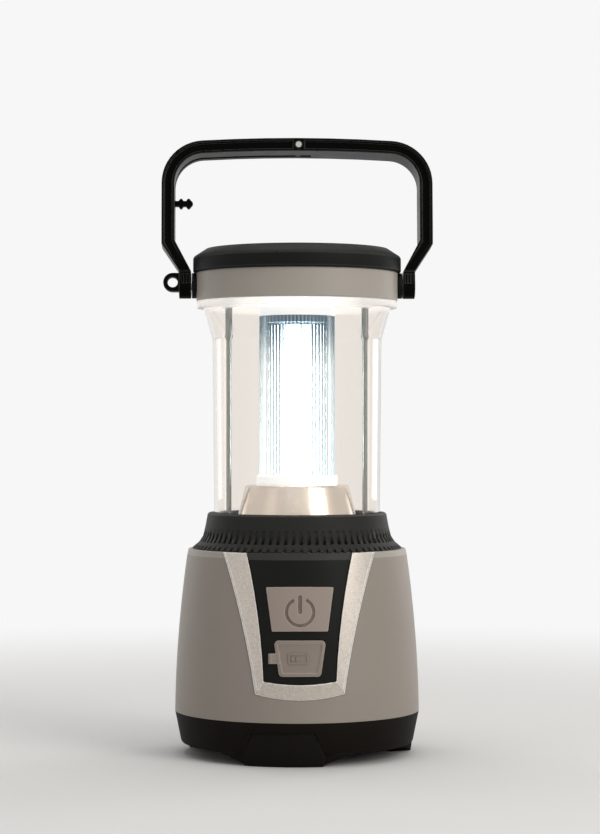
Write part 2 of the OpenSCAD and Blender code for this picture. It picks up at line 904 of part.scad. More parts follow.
// A round tray with a pocket for each cell, from the thickness of its floor and its height
module cell_tray(floor_t, height) {
  difference() {
    translate([0, battery_y, 0])
      cylinder(r = cradle_r, h = height);
    translate([0, 0, floor_t])
      cell_places()
        cylinder(r = cell_r + fit, h = height);
  }
}

module battery_cradle() {
  color([0.22, 0.22, 0.23])
    translate([0, 0, z_cradle])
      difference() {
        union() {
          cell_tray(cradle_floor, cradle_cup_h);
          cylinder(r = cradle_screw_at + cradle_lug, h = cradle_plate_t);
        }
        around(4, 45)
          translate([cradle_screw_at, 0, 0]) {
            translate([0, 0, -1])
              cylinder(r = cradle_hole_r, h = cradle_plate_t + 2);
            translate([0, 0, cradle_plate_t])
              cylinder(r = cradle_head_r, h = cradle_cup_h);
          }
        translate([0, 0, cradle_floor - strip_recess])
          contact_star(slide_fit, strip_recess + 1);
      }
}

module battery_clamp() {
  color([0.22, 0.22, 0.23])
    translate([0, 0, z_cell + cell_h + contact_room + clamp_floor])
      mirror([0, 0, 1])
        difference() {
          cell_tray(clamp_floor, clamp_floor + clamp_h);
          cell_places()
            translate([0, 0, -1])
              cylinder(r = 2, h = clamp_floor + 2);
          translate([0, 0, clamp_floor])
            contact_star(slide_fit, 1);
        }
}

module battery_contacts() {
  color([0.80, 0.80, 0.78])
    for (z = [z_cell - 0.3, z_cell + cell_h])
      translate([0, 0, z])
        contact_star(0, 0.3);
}

module cradle_screws() {
  color([0.55, 0.55, 0.56])
    around(4, 45)
      translate([cradle_screw_at, 0, z_cradle + cradle_plate_t])
        mirror([0, 0, 1])
          screw(1.9, 3.4, 4, 1.4);
}

// ---------------------------------------------------------------- coupling ring and deck

ring_flare = [0.0, 0.45, 0.69, 0.84, 0.96, 1.0];
ring_rise = [0.0, 0.17, 0.33, 0.60, 0.88, 0.97];
ring_shoulder_z = z_deck_flange + slide_fit;

// Outside of the coupling ring: a hollow flare from its foot to its rim
ring_out_r = ring_rim_r + 0.8;
function ring_outside(i) = [
  ring_foot_r + (ring_out_r - ring_foot_r) * ring_flare[i], z_ring + ring_h * ring_rise[i]];

module ring_grooves(z0, z1, reach_r, width_share) {
  pitch = 360 / grip_count;
  difference() {
    translate([0, 0, z0])
      cylinder(r = ring_foot_r + 5, h = z1 - z0);
    translate([0, 0, z0 - 1])
      linear_extrude(height = z1 - z0 + 2)
        polygon([for (i = [0:grip_count - 1])
          each [for (p = [[0, 0], [width_share, 0], [width_share, 1], [1, 1]])
            let (a = (i + p.x) * pitch)
            (p.y == 0 ? reach_r : ring_foot_r + 8) * [cos(a), sin(a)]]]);
  }
}

module knurled_ring() {
  color([0.11, 0.11, 0.11])
    difference() {
      union() {
        rotate_extrude()
          polygon(concat(
            [[ring_foot_bore_r, z_ring]],
            [for (i = [0:len(ring_flare) - 1]) ring_outside(i)],
            [[ring_rim_r, z_rim], [ring_rim_r - ring_rim_w, z_rim],
             [ring_rim_r - ring_rim_w, z_seat + 4.2], [ring_bore_r, z_seat + 4.2],
             [ring_bore_r, ring_shoulder_z], [neck_r, ring_shoulder_z],
             [neck_r, z_neck + slide_fit], [ring_foot_bore_r, z_neck + slide_fit]]));
        around(3)
          rotate([0, 0, -lug_arc / 2])
            rotate_extrude(angle = lug_arc)
              translate([neck_r + slide_fit, z_ring])
                square([ring_foot_bore_r - neck_r, neck_h - lug_h - ring_gap - slide_fit]);
      }
      ring_grooves(z_ring + 3, z_ring + 8, ring_outside(2)[0] - grip_depth, 0.45);
      ring_grooves(z_ring - 1, z_ring + 1.7, ring_foot_r - 1.8, 0.45);
    }
}

deck_spigot_h = 2.6;
deck_screw_at = 22;

module lamp_deck() {
  color([0.12, 0.12, 0.12])
    difference() {
      rotate_extrude()
        polygon([
          [4, z_deck], [globe_r - globe_wall - slide_fit, z_deck],
          [globe_r - globe_wall - slide_fit, z_seat], [deck_wall_r - deck_wall, z_seat],
          [deck_wall_r - deck_wall, z_seat + 3.8], [deck_wall_r, z_seat + 3.8],
          [deck_wall_r, z_deck_flange], [deck_flange_r, z_deck_flange],
          [deck_flange_r, z_deck_flange - deck_flange_t], [neck_r - neck_wall - slide_fit, z_neck + slide_fit],
          [neck_r - neck_wall - slide_fit, z_neck - deck_spigot_h],
          [neck_r - neck_wall - slide_fit - 2, z_neck - deck_spigot_h],
          [neck_r - neck_wall - slide_fit - 2, z_deck - deck_t], [4, z_deck - deck_t]]);
      for (side = [-1, 1])
        translate([side * rod_spread / 2, 0, z_deck - deck_t - 1])
          cylinder(r = rod_d / 2 + pin_fit, h = deck_t + 2);
      around(3, 90)
        translate([deck_screw_at, 0, z_deck - deck_t - 1])
          cylinder(r = 1.3, h = deck_t + 2);
    }
}

module deck_screws() {
  color([0.55, 0.55, 0.56])
    around(3, 90)
      translate([deck_screw_at, 0, z_deck - deck_t])
        screw(2.4, deck_t + 3.4, 4.6, 1.6);
}

module globe_seal() {
  color([0.85, 0.85, 0.83])
    rotate_extrude()
      translate([globe_r - globe_wall - slide_fit + fit, z_seat])
        square([globe_wall + 2 * slide_fit - 2 * fit, seal_t]);
}

module globe() {
  color([0.85, 0.90, 0.93, 0.35])
    rotate_extrude()
      polygon([
        [globe_r, z_seat + seal_t], [globe_top_r, z_flare],
        [flare_r, z_head - lip_h], [lip_r, z_head - lip_h], [lip_r, z_head],
        [flare_r - 0.6, z_head], [flare_r - globe_wall, z_head - lip_h],
        [globe_top_r - globe_wall, z_flare], [globe_r - globe_wall, z_seat + seal_t]]);
}

// ---------------------------------------------------------------- lamp

reflector_t = 1.4;
reflector_taper = 0.236;
reflector_top_r = reflector_top_d / 2;
reflector_foot_r = reflector_top_r + reflector_taper * (z_reflector - z_deck);
reflector_edge = 1.4;
post_hole_r = post_corner_r + strip_t + 0.5;

module reflector_cone() {
  color([0.80, 0.79, 0.77])
    difference() {
      union() {
        rotate_extrude()
          polygon(concat(
            [[reflector_foot_r, z_deck]],
            [for (i = [0:5]) let (a = 12 + 78 * i / 5)
              [reflector_top_r - reflector_edge + reflector_edge * cos(a),
               z_reflector - reflector_edge + reflector_edge * sin(a)]],
            [[post_hole_r, z_reflector], [post_hole_r, z_reflector - reflector_t],
             [reflector_top_r - reflector_edge - 0.4, z_reflector - reflector_t],
             [reflector_foot_r - reflector_t, z_deck]]));
        around(3, 90)
          translate([deck_screw_at, 0, z_deck])
            cylinder(r = 2.6, h = z_reflector - z_deck - reflector_t / 2);
      }
      around(3, 90)
        translate([deck_screw_at, 0, z_deck - 1])
          cylinder(r = 1.2, h = 5.5);
    }
}

module lower_collar() {
  color([0.92, 0.92, 0.90])
    rotate_extrude()
      polygon([
        [post_hole_r, z_reflector], [diffuser_r + 1.3, z_reflector],
        [diffuser_r + 1.3, z_reflector + collar_low_h - 0.4],
        [diffuser_r + 0.9, z_reflector + collar_low_h], [diffuser_r + fit, z_reflector + collar_low_h],
        [diffuser_r + fit, z_diffuser], [post_hole_r, z_diffuser]]);
}

// Ribs run the whole length of the diffuser
rib_depth = 0.55;
module fluted_diffuser() {
  steps = 4;
  color([0.80, 0.92, 0.92, 0.45])
    translate([0, 0, z_diffuser])
      linear_extrude(height = z_collar_top - z_diffuser)
        difference() {
          polygon([for (i = [0:rib_count * steps - 1])
            let (a = i * 360 / (rib_count * steps),
                 r = diffuser_r - rib_depth * (0.5 - 0.5 * cos(a * rib_count)))
            r * [cos(a), sin(a)]]);
          circle(r = diffuser_r - diffuser_wall);
        }
}

module top_collar() {
  color([0.93, 0.93, 0.92])
    rotate_extrude()
      polygon([
        [post_hole_r, z_collar_top - 3], [diffuser_r - diffuser_wall - fit, z_collar_top - 3],
        [diffuser_r - diffuser_wall - fit, z_collar_top], [diffuser_r + 0.3, z_collar_top],
        [diffuser_r + 0.3, z_head_plate], [post_hole_r, z_head_plate]]);
}

module led_post() {
  color([0.75, 0.76, 0.78])
    difference() {
      translate([0, 0, z_deck])
        linear_extrude(height = z_head_plate - z_deck)
          circle(r = post_corner_r, $fn = 6);
      translate([0, 0, z_deck - 1])
        cylinder(r = 2.2, h = z_head_plate - z_deck + 2);
    }
}

strip_w = 5.6;
strip_low = 3;
led_count = 9;
led_w = 3.5;
led_h = 2.8;
module led_strips() {
  z0 = z_diffuser + strip_low;
  z1 = z_collar_top - strip_low - 1;
  pitch = (z1 - z0) / led_count;
  color([0.95, 0.95, 0.90])
    around(6, 30) {
      translate([post_af / 2, -strip_w / 2, z0])
        cube([strip_t, strip_w, z1 - z0]);
      for (i = [0:led_count - 1])
        translate([post_af / 2 + strip_t / 2, -led_w / 2, z0 + (i + 0.5) * pitch - led_h / 2])
          cube([strip_t / 2 + led_t, led_w, led_h]);
    }
}

// ---------------------------------------------------------------- tie rods

sleeve_r = 1.6;
sleeve_low = 16.1;
nut_af = 5;
nut_t = 2;
z_nut_low = z_deck - deck_t - nut_t;
z_nut_top = z_head_plate + head_plate_t;

module tie_rods() {
  color([0.80, 0.80, 0.82])
    for (side = [-1, 1])
      translate([side * rod_spread / 2, 0, 0]) {
        translate([0, 0, z_nut_low - 1])
          cylinder(r = rod_d / 2, h = z_nut_top + nut_t + 1 - z_nut_low + 1);
        translate([0, 0, z_head - sleeve_low])
          cylinder(r = sleeve_r, h = z_head_plate - z_head + sleeve_low);
        translate([0, 0, z_head - sleeve_low - 1.6])
          cylinder(r1 = rod_d / 2, r2 = sleeve_r + 0.3, h = 1.6);
        translate([0, 0, z_head - sleeve_low])
          cylinder(r = sleeve_r + 0.3, h = 0.8);
        translate([0, 0, z_deck])
          cylinder(r = sleeve_r, h = 2);
      }
}

module rod_nuts() {
  color([0.70, 0.70, 0.71])
    for (side = [-1, 1])
      for (z = [z_nut_low, z_nut_top])
        translate([side * rod_spread / 2, 0, z])
          difference() {
            cylinder(r = nut_af / 2 / cos(30), h = nut_t, $fn = 6);
            translate([0, 0, -1])
              cylinder(r = rod_d / 2 + pin_fit, h = nut_t + 2, $fn = 48);
          }
}

// ---------------------------------------------------------------- head

cap_screw_d = 2.6;
cap_screw_at = head_r - 12.6;
cap_screw_first = 90;
head_in_r = head_r - head_wall;
pin_r = 2;
cap_chamfer = 5.8;
cap_side = 7.2;
cap_rise = 3.4;
cap_wall = 2.2;
cap_spigot = 2.2;

module head_plate() {
  color([0.93, 0.93, 0.92])
    difference() {
      translate([0, 0, z_head_plate])
        cylinder(r = head_in_r - fit, h = head_plate_t);
      for (side = [-1, 1])
        translate([side * rod_spread / 2, 0, z_head_plate - 1])
          cylinder(r = rod_d / 2 + pin_fit, h = head_plate_t + 2);
      around(3, cap_screw_first)
        translate([cap_screw_at, 0, z_head_plate - 1])
          cylinder(r = cap_screw_d / 2 + 0.2, h = head_plate_t + 2);
      translate([0, 0, z_head_plate - 1])
        cylinder(r = 2.2, h = head_plate_t + 2);
    }
}

module head_ring() {
  color([0.82, 0.82, 0.80])
    difference() {
      rotate_extrude()
        polygon([
          [flare_r - 1.6, z_head], [head_r - 0.4, z_head], [head_r, z_head + 0.4],
          [head_r, z_cap], [head_in_r, z_cap], [head_in_r, z_head_plate],
          [flare_r - 1.6, z_head_plate]]);
      translate([0, 0, z_pivot])
        rod_x(pin_r + pin_fit, -head_r - 2, head_r + 2);
    }
}

module top_cap() {
  dome_r = cap_r - cap_chamfer;
  dome_rise = cap_h - cap_side - cap_rise;
  color([0.12, 0.12, 0.12])
    difference() {
      union() {
        rotate_extrude()
          polygon(concat(
            [[head_in_r - fit, z_cap], [cap_r - 0.4, z_cap], [cap_r, z_cap + 0.4],
             [cap_r, z_cap + cap_side - 0.8], [cap_r - 0.6, z_cap + cap_side]],
            [for (i = [0:5]) let (t = 1 - i / 5)
              [dome_r * t, z_cap + cap_side + cap_rise + dome_rise * (1 - t * t)]],
            [[0, z_cap + cap_side + cap_rise - cap_wall],
             [dome_r - 1, z_cap + cap_side + cap_rise - cap_wall],
             [cap_r - cap_wall - 1.5, z_cap + cap_side - 1], [head_in_r - fit - 1.8, z_cap],
             [head_in_r - fit - 1.8, z_cap - cap_spigot], [head_in_r - fit, z_cap - cap_spigot]]));
        around(3, cap_screw_first)
          translate([cap_screw_at, 0, z_nut_top])
            cylinder(r = 3.4, h = z_cap + cap_side + cap_rise - cap_wall - z_nut_top + 0.5);
      }
      around(3, cap_screw_first)
        translate([cap_screw_at, 0, z_nut_top - 1])
          cylinder(r = cap_screw_d / 2 + 0.02, h = 11);
    }
}

module cap_screws() {
  color([0.60, 0.60, 0.61])
    around(3, cap_screw_first)
      translate([cap_screw_at, 0, z_head_plate])
        screw(cap_screw_d, 10, 5, 1.5);
}

// ---------------------------------------------------------------- bail pivots

pad_r = 5.8;
pad_t = 2;
pad_gap = 0.3;
knuckle_x = head_r + pad_t + pad_gap;
rivet_r = 2.9;
rivet_t = 1.2;
rivet_at = knuckle_w - 0.4;
blind_at = knuckle_w - 1.6;

module pivot_pad() {
  difference() {
    translate([0, 0, z_pivot])
      rod_x(pad_r, head_r - 2, head_r + pad_t);
    cylinder(r = head_r + fit / 2, h = z_cap + 20, $fn = 180);
    translate([0, 0, z_pivot])
      rod_x(pin_r + pin_fit, head_r - 4, head_r + pad_t + 2);
  }
}

// A pin headed inside the head ring, its far end either riveted over or left blind
module pivot_pin(riveted) {
  translate([0, 0, z_pivot]) {
    rod_x(pin_r, head_in_r - 2, knuckle_x + (riveted ? rivet_at : blind_at));
    rod_x(rivet_r, head_in_r - 2, head_in_r - 0.5);
    if (riveted)
      rod_x(rivet_r, knuckle_x + rivet_at - rivet_t, knuckle_x + rivet_at);
  }
}

module left_pivot_pad() {
  color([0.10, 0.10, 0.10])
    mirror([1, 0, 0])
      pivot_pad();
}

module right_pivot_pad() {
  color([0.10, 0.10, 0.10])
    pivot_pad();
}

module left_pivot_pin() {
  color([0.66, 0.66, 0.67])
    mirror([1, 0, 0])
      pivot_pin(false);
}

module right_pivot_pin() {
  color([0.66, 0.66, 0.67])
    pivot_pin(true);
}

// ---------------------------------------------------------------- bail
// The bail and hook are drawn upright with the pivot axis on X through the origin.

bail_out = knuckle_x + knuckle_w + bail_spread;
bail_mid = bail_out - bail_t / 2;
bail_mid_top = bail_reach - bail_t / 2;
corner_mid_r = bail_corner_r - bail_t / 2;
crown_r = 735;
crown_turn = asin((bail_mid - corner_mid_r) / (crown_r - corner_mid_r));
corner_at = [
  bail_mid - corner_mid_r,
  bail_mid_top - crown_r + (crown_r - corner_mid_r) * cos(crown_turn)];
leg_low = 19;
neck_z = 6;
neck_share = 0.9;
bail_rim = 1.2;
web_deep = 2.2;
rear_web_deep = 1;
slot_share = 0.2;
slot_y = bail_depth * slot_share;
slot_w = hook_t + 2 * slide_fit;
slot_low = 35.6;
hook_pin_x = 0.7;
hook_pin_r = 1;
hook_pin_at = [hook_pin_x, bail_mid_top];
pin_boss_w = 5.4;
crown_steps = 3;
corner_steps = 12;

// The bail's centre line moved outward by off, from the crown down the right side to the knuckle
function bail_half(off) =
  let (knuckle_mid = knuckle_x + knuckle_w / 2,
       slant = unit([bail_mid - knuckle_mid, leg_low - neck_z]),
       normal = [slant.y, -slant.x],
       mitre = ([1, 0] + normal) / (1 + normal.x))
  concat(
    [for (i = [0:crown_steps - 1]) let (a = crown_turn * i / crown_steps)
      [(crown_r + off) * sin(a), bail_mid_top - crown_r + (crown_r + off) * cos(a)]],
    [for (i = [0:corner_steps]) let (a = 90 - crown_turn - (90 - crown_turn) * i / corner_steps)
      corner_at + (corner_mid_r + off) * [cos(a), sin(a)]],
    [[bail_mid, leg_low] + mitre * off, [knuckle_mid + off * neck_share, neck_z]]);

function mirrored(points) = [for (p = points) [-p.x, p.y]];

// The band between two offsets of the centre line, down both sides
function bail_band(lo, hi) = concat(
  reversed(mirrored(bail_half(hi))), [for (i = [1:len(bail_half(hi)) - 1]) bail_half(hi)[i]],
  reversed(bail_half(lo)), [for (i = [1:len(bail_half(lo)) - 1]) mirrored(bail_half(lo))[i]]);

// Extrudes an outline of the front view from y0 to y1
module bail_prism(y0, y1) {
  translate([0, y1, 0])
    rotate([90, 0, 0])
      linear_extrude(height = y1 - y0)
        children();
}

module bail_posed() {
  translate([0, 0, z_pivot])
    rotate([-bail_lean, 0, 0])
      children();
}

// Side view of the handle: full depth above, drawn in to the knuckle below
module bail_side() {
  half = bail_depth / 2;
  knuckle_r = knuckle_d / 2;
  translate([-bail_out - 5, 0, 0])
    rotate([90, 0, 90])
      linear_extrude(height = 2 * bail_out + 10)
        polygon([
          [-knuckle_r, 0], [-knuckle_r, neck_z - 2], [-half, leg_low + 4], [-half, bail_reach + 5],
          [half, bail_reach + 5], [half, leg_low + 4], [knuckle_r, neck_z - 2], [knuckle_r, 0]]);
}

// Room for the hook: open above, outside and inside, with a slanted end past the pin
module hook_slot() {
  bail_prism(slot_y - slot_w / 2, slot_y + slot_w / 2)
    polygon([
      [-bail_out - 2, slot_low], [-bail_mid + 8, slot_low],
      [-bail_mid + 8, bail_reach - bail_t - 8], [hook_pin_x + 5.9, bail_reach - bail_t - 8],
      [hook_pin_x + 5.9, bail_reach - bail_t], [hook_pin_x + 3.5, bail_reach],
      [hook_pin_x + 3.5, bail_reach + 3], [-bail_out - 2, bail_reach + 3]]);
}

// Flutes on the front of a knuckle, above its pin
module knuckle_flutes() {
  for (i = [0:2])
    translate([knuckle_x + 1.1 + i * 1.3, -bail_depth, 0.6])
      cube([0.6, bail_depth - knuckle_d / 2 + 1.6, 4]);
}

lanyard_x = -bail_mid + 2;
eye_r = 4.3;
eye_z = 1.4;
eye_t = 3.6;

module bail() {
  half = bail_depth / 2;
  color([0.05, 0.055, 0.05])
    bail_posed()
      difference() {
        union() {
          intersection() {
            bail_prism(-half, half)
              polygon(bail_band(-bail_t / 2, bail_t / 2));
            bail_side();
          }
          for (side = [-1, 1])
            mirror([side < 0 ? 1 : 0, 0, 0]) {
              rod_x(knuckle_d / 2, knuckle_x, knuckle_x + knuckle_w);
              translate([knuckle_x, -knuckle_d / 2, 0])
                cube([knuckle_w, knuckle_d, neck_z]);
            }
          translate([lanyard_x, 0, eye_z])
            rod_y(eye_r, -eye_t / 2, eye_t / 2);
          translate([lanyard_x, -eye_t / 2, eye_z - eye_r])
            cube([-knuckle_x - knuckle_w - lanyard_x + 1, eye_t, 2 * eye_r]);
        }
        difference() {
          union() {
            bail_prism(-half - 1, -half + web_deep)
              polygon(bail_band(-bail_t / 2 + bail_rim, bail_t / 2 - bail_rim));
            bail_prism(half - rear_web_deep, half + 1)
              polygon(bail_band(-bail_t / 2 + bail_rim, bail_t / 2 - bail_rim));
          }
          translate([hook_pin_x - pin_boss_w / 2, -bail_depth, bail_mid_top - bail_t])
            cube([pin_boss_w, 2 * bail_depth, 2 * bail_t]);
        }
        hook_slot();
        translate([hook_pin_x, 0, bail_mid_top])
          rod_y(hook_pin_r + 0.02, -half - 1, half + 1);
        translate([hook_pin_x, 0, bail_mid_top])
          rod_y(hook_pin_r + 0.55, -half - 1, -half + 0.9);
        for (side = [-1, 1])
          mirror([side < 0 ? 1 : 0, 0, 0]) {
            rod_x(pin_r + pin_fit, knuckle_x - 3, knuckle_x + blind_at + slide_fit);
            knuckle_flutes();
          }
        rod_x(pin_r + pin_fit, knuckle_x, knuckle_x + knuckle_w);
        rod_x(rivet_r + slide_fit, knuckle_x + rivet_at - rivet_t - slide_fit, knuckle_x + knuckle_w + 3);
        translate([lanyard_x, 0, eye_z])
          rod_y(eye_bore / 2, -bail_depth, bail_depth);
      }
}

// ---------------------------------------------------------------- hook

tip_z = slot_low + 2.6;
tip_half = 1.3;
barb_half = 2.35;
tip_x = -knuckle_x + 0.6;
barb_pitch = 3.4;
barb_at = tip_x - 2;

// One side of the barbed end, from its root to its nose, about its own axis
function barb_side() = [
  [-bail_mid + hook_w / 2, tip_half],
  [barb_at - barb_pitch - 1.1, tip_half], [barb_at - barb_pitch - 0.4, barb_half],
  [barb_at - barb_pitch + 0.4, barb_half], [barb_at - barb_pitch + 1.1, tip_half],
  [barb_at - 1.1, tip_half], [barb_at - 0.4, barb_half], [barb_at + 0.4, barb_half],
  [barb_at + 1.1, tip_half + 0.2], [tip_x - 0.3, tip_half - 0.4], [tip_x, 0.3]];

// The whole hook seen from the front: along the bail's centre line, round the corner, to the barbs
function hook_outline() =
  let (outer = mirrored(bail_half(hook_w / 2)),
       inner = mirrored(bail_half(-hook_w / 2)),
       count = crown_steps + corner_steps,
       foot = tip_z - hook_w / 2)
  concat(
    [[hook_pin_x, outer[0].y]],
    [for (i = [0:count]) outer[i]],
    [[outer[count].x, foot + 0.6], [outer[count].x + 0.6, foot], [inner[count].x, foot]],
    [for (p = barb_side()) [p.x, tip_z - p.y]],
    [for (p = reversed(barb_side())) [p.x, tip_z + p.y]],
    [for (i = [count:-1:0]) inner[i]],
    [[hook_pin_x, inner[0].y]]);

module hook() {
  color([0.05, 0.055, 0.05])
    bail_posed()
      difference() {
        union() {
          bail_prism(slot_y - hook_t / 2, slot_y + hook_t / 2)
            polygon(hook_outline());
          translate([hook_pin_at.x, 0, hook_pin_at.y])
            rod_y(bail_t / 2 - 0.05, slot_y - hook_t / 2, slot_y + hook_t / 2);
        }
        translate([hook_pin_at.x, 0, hook_pin_at.y])
          rod_y(hook_pin_r + 0.06, -bail_depth, bail_depth);
      }
}

module hook_pin() {
  half = bail_depth / 2;
  color([0.80, 0.78, 0.74])
    bail_posed()
      translate([hook_pin_at.x, 0, hook_pin_at.y])
        union() {
          rod_y(hook_pin_r, -half + 0.5, half - rear_web_deep);
          rod_y(hook_pin_r + 0.35, -half + 0.1, -half + 0.9);
        }
}

// ---------------------------------------------------------------- nodes

base_skirt();
rubber_feet();
base_screws();
body_shell();
bezel_frame();
control_panel();
power_button();
port_cover();
control_board();
board_screws();
button_switch();
usb_output_socket();
charging_socket();
battery_cells();
battery_cradle();
battery_clamp();
battery_contacts();
cradle_screws();
knurled_ring();
lamp_deck();
deck_screws();
globe_seal();
globe();
reflector_cone();
lower_collar();
fluted_diffuser();
top_collar();
led_post();
led_strips();
tie_rods();
rod_nuts();
head_plate();
head_ring();
top_cap();
cap_screws();
left_pivot_pad();
right_pivot_pad();
left_pivot_pin();
right_pivot_pin();
bail();
hook();
hook_pin();
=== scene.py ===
# %% [markdown]
# # A camping lantern, finished for the camera
# The lantern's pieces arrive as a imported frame: every piece already has its true size and its true
# place, in metres, with the foot of the lantern at the origin and the control panel facing -Y.
# This lesson gives each piece its finish, rounds the edges that a mould would round, and adds what
# is too fine for the drawing: the crosses of the base screws and the raised mark on the port cover.

import json
import math

import bmesh
import bpy
from mathutils import Matrix, Vector
from mathutils.bvhtree import BVHTree


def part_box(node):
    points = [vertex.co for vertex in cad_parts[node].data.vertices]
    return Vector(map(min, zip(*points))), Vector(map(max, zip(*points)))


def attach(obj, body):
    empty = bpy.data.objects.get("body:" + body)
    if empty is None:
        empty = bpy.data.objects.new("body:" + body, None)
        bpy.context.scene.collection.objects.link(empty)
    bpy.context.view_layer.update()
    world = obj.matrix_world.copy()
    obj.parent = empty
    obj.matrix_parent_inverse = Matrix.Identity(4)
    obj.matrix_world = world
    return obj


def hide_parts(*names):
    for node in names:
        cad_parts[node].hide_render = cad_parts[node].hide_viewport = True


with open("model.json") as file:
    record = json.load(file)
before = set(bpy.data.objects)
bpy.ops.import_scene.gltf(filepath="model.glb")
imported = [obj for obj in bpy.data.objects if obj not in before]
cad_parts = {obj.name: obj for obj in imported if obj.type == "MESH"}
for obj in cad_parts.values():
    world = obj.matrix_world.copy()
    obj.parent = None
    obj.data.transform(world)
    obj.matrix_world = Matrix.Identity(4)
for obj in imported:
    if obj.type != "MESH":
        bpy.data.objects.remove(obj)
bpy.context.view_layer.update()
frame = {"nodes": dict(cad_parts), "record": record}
nodes = frame["nodes"]
MM = 0.001  # every size here is in metres

# %% [markdown]
# ## The camera
# A long lens from about a metre away keeps the lantern's sides almost upright. The lens is worked
# out from how large the lantern should stand in a picture that is 834 pixels high, given as pixels
# per radian. The camera turns about the lantern's own axis, so one angle moves it round.

# %% Place the camera
PICTURE_HIGH = 834
PIXELS_PER_RADIAN = 2376
SENSOR = 36
NEAREST = 0.01
camera_distance = 1.080
camera_height = 0.146
camera_turn = math.radians(1.45)
camera_tilt = math.radians(0.313)
axis_offset = 0.00136

camera = bpy.data.objects.new("camera", bpy.data.cameras.new("camera"))
bpy.context.scene.collection.objects.link(camera)
camera.data.sensor_fit = "VERTICAL"
camera.data.sensor_height = SENSOR
camera.data.lens = SENSOR * PIXELS_PER_RADIAN / PICTURE_HIGH
camera.location = (
    axis_offset * math.cos(camera_turn) - camera_distance * math.sin(camera_turn),
    -axis_offset * math.sin(camera_turn) - camera_distance * math.cos(camera_turn),
    camera_height,
)
camera.rotation_euler = (math.pi / 2 + camera_tilt, 0, -camera_turn)
camera.data.clip_start = NEAREST
bpy.context.scene.camera = camera
print("lens", round(camera.data.lens, 1), "mm")

# %% [markdown]
# ## Floor, backdrop and studio light
# The floor is one pale sheet. Near the lantern it is plain paper that takes the shadow; further out
# a camera ray sees it fade to the white of the world behind, so no line crosses the picture and no
# extra light falls on the lantern. Large soft lamps stand right, left, above and behind. The world
# is a plain pale room: rays from the camera, from a mirror or through glass see white, and all
# others see a dimmer grey.

# %% Colours as a screen shows them
def rgb(r, g, b):
    """A colour given as a screen shows it, 0 to 255, in the linear numbers that shaders use."""
    def one(c):
        c /= 255
        return c / 12.92 if c <= 0.04045 else ((c + 0.055) / 1.055) ** 2.4
    return (one(r), one(g), one(b), 1.0)


print("a mid grey in linear numbers:", round(rgb(128, 128, 128)[0], 3))

# %% New objects and soft lamps
def link_new(name, data):
    """Puts a mesh or a lamp into the scene as a new object."""
    made = bpy.data.objects.new(name, data)
    bpy.context.scene.collection.objects.link(made)
    return made


def softbox(name, place, aim, wide, high, watts, colour):
    """A rectangular area lamp that looks at a point."""
    lamp = bpy.data.lights.new(name, "AREA")
    lamp.shape = "RECTANGLE"
    lamp.size = wide
    lamp.size_y = high
    lamp.energy = watts
    lamp.color = colour
    made = link_new(name, lamp)
    made.location = place
    made.rotation_euler = (Vector(aim) - Vector(place)).to_track_quat("-Z", "Y").to_euler()
    return made


# %% Numbers inside a material
def math_node(tree, operation, *values):
    """A Math node whose inputs are sockets or plain numbers. Returns its output."""
    made = tree.nodes.new("ShaderNodeMath")
    made.operation = operation
    for socket, value in zip(made.inputs, values):
        if isinstance(value, bpy.types.NodeSocket):
            tree.links.new(value, socket)
        else:
            socket.default_value = value
    return made.outputs[0]


def ramp(tree, value, start, end, low=0.0, high=1.0, smooth=False):
    """Low while the value is below start, high once it is past end, and a slope between them."""
    made = tree.nodes.new("ShaderNodeMapRange")
    if smooth:
        made.interpolation_type = "SMOOTHSTEP"
    for label, number in zip(("From Min", "From Max", "To Min", "To Max"), (start, end, low, high)):
        made.inputs[label].default_value = number
    tree.links.new(value, made.inputs["Value"])
    return made.outputs[0]


# %% Places inside a material
def object_space(tree, squeeze=(1, 1, 1)):
    """Object coordinates, in metres, stretched along an axis where squeeze is below 1."""
    place = tree.nodes.new("ShaderNodeTexCoord")
    if squeeze == (1, 1, 1):
        return place.outputs["Object"]
    mapping = tree.nodes.new("ShaderNodeMapping")
    mapping.inputs["Scale"].default_value = squeeze
    tree.links.new(place.outputs["Object"], mapping.inputs["Vector"])
    return mapping.outputs["Vector"]


def split(tree, vector):
    """The X, Y and Z of a vector, each as an output of its own."""
    parts = tree.nodes.new("ShaderNodeSeparateXYZ")
    tree.links.new(vector, parts.inputs[0])
    return parts.outputs


# %% A new finish, and two shaders in one
def new_finish(name):
    """A material, its node tree and its main shader."""
    made = bpy.data.materials.new(name)
    made.use_nodes = True
    return made, made.node_tree, made.node_tree.nodes["Principled BSDF"]


def show_both(tree, share, first, second):
    """The surface is the first shader where share is 0, and the second where it is 1."""
    mixed = tree.nodes.new("ShaderNodeMixShader")
    for value, socket in zip((share, first, second), mixed.inputs):
        tree.links.new(value, socket)
    tree.links.new(mixed.outputs[0], tree.nodes["Material Output"].inputs["Surface"])


# %% A sheet of studio paper
PAPER_WHITE = 0.93
PAPER_REACH = 6.0
FADE_FROM, FADE_TO = 0.16, 0.75


def studio_paper():
    """A flat square floor, far wider than the picture."""
    bm = bmesh.new()
    bmesh.ops.create_grid(bm, x_segments=1, y_segments=1, size=PAPER_REACH)
    mesh = bpy.data.meshes.new("studio_paper")
    bm.to_mesh(mesh)
    bm.free()
    return link_new("studio_paper", mesh)


print("paper fades from", FADE_FROM, "to", FADE_TO, "m from the lantern")

# %% Which rays see white
def seen_white(tree):
    """1 for rays from the camera, from a mirror or through glass, and 0 for all others."""
    ray = tree.nodes.new("ShaderNodeLightPath").outputs
    either = math_node(tree, "MAXIMUM", ray["Is Camera Ray"], ray["Is Transmission Ray"])
    return math_node(tree, "MAXIMUM", either, ray["Is Glossy Ray"])


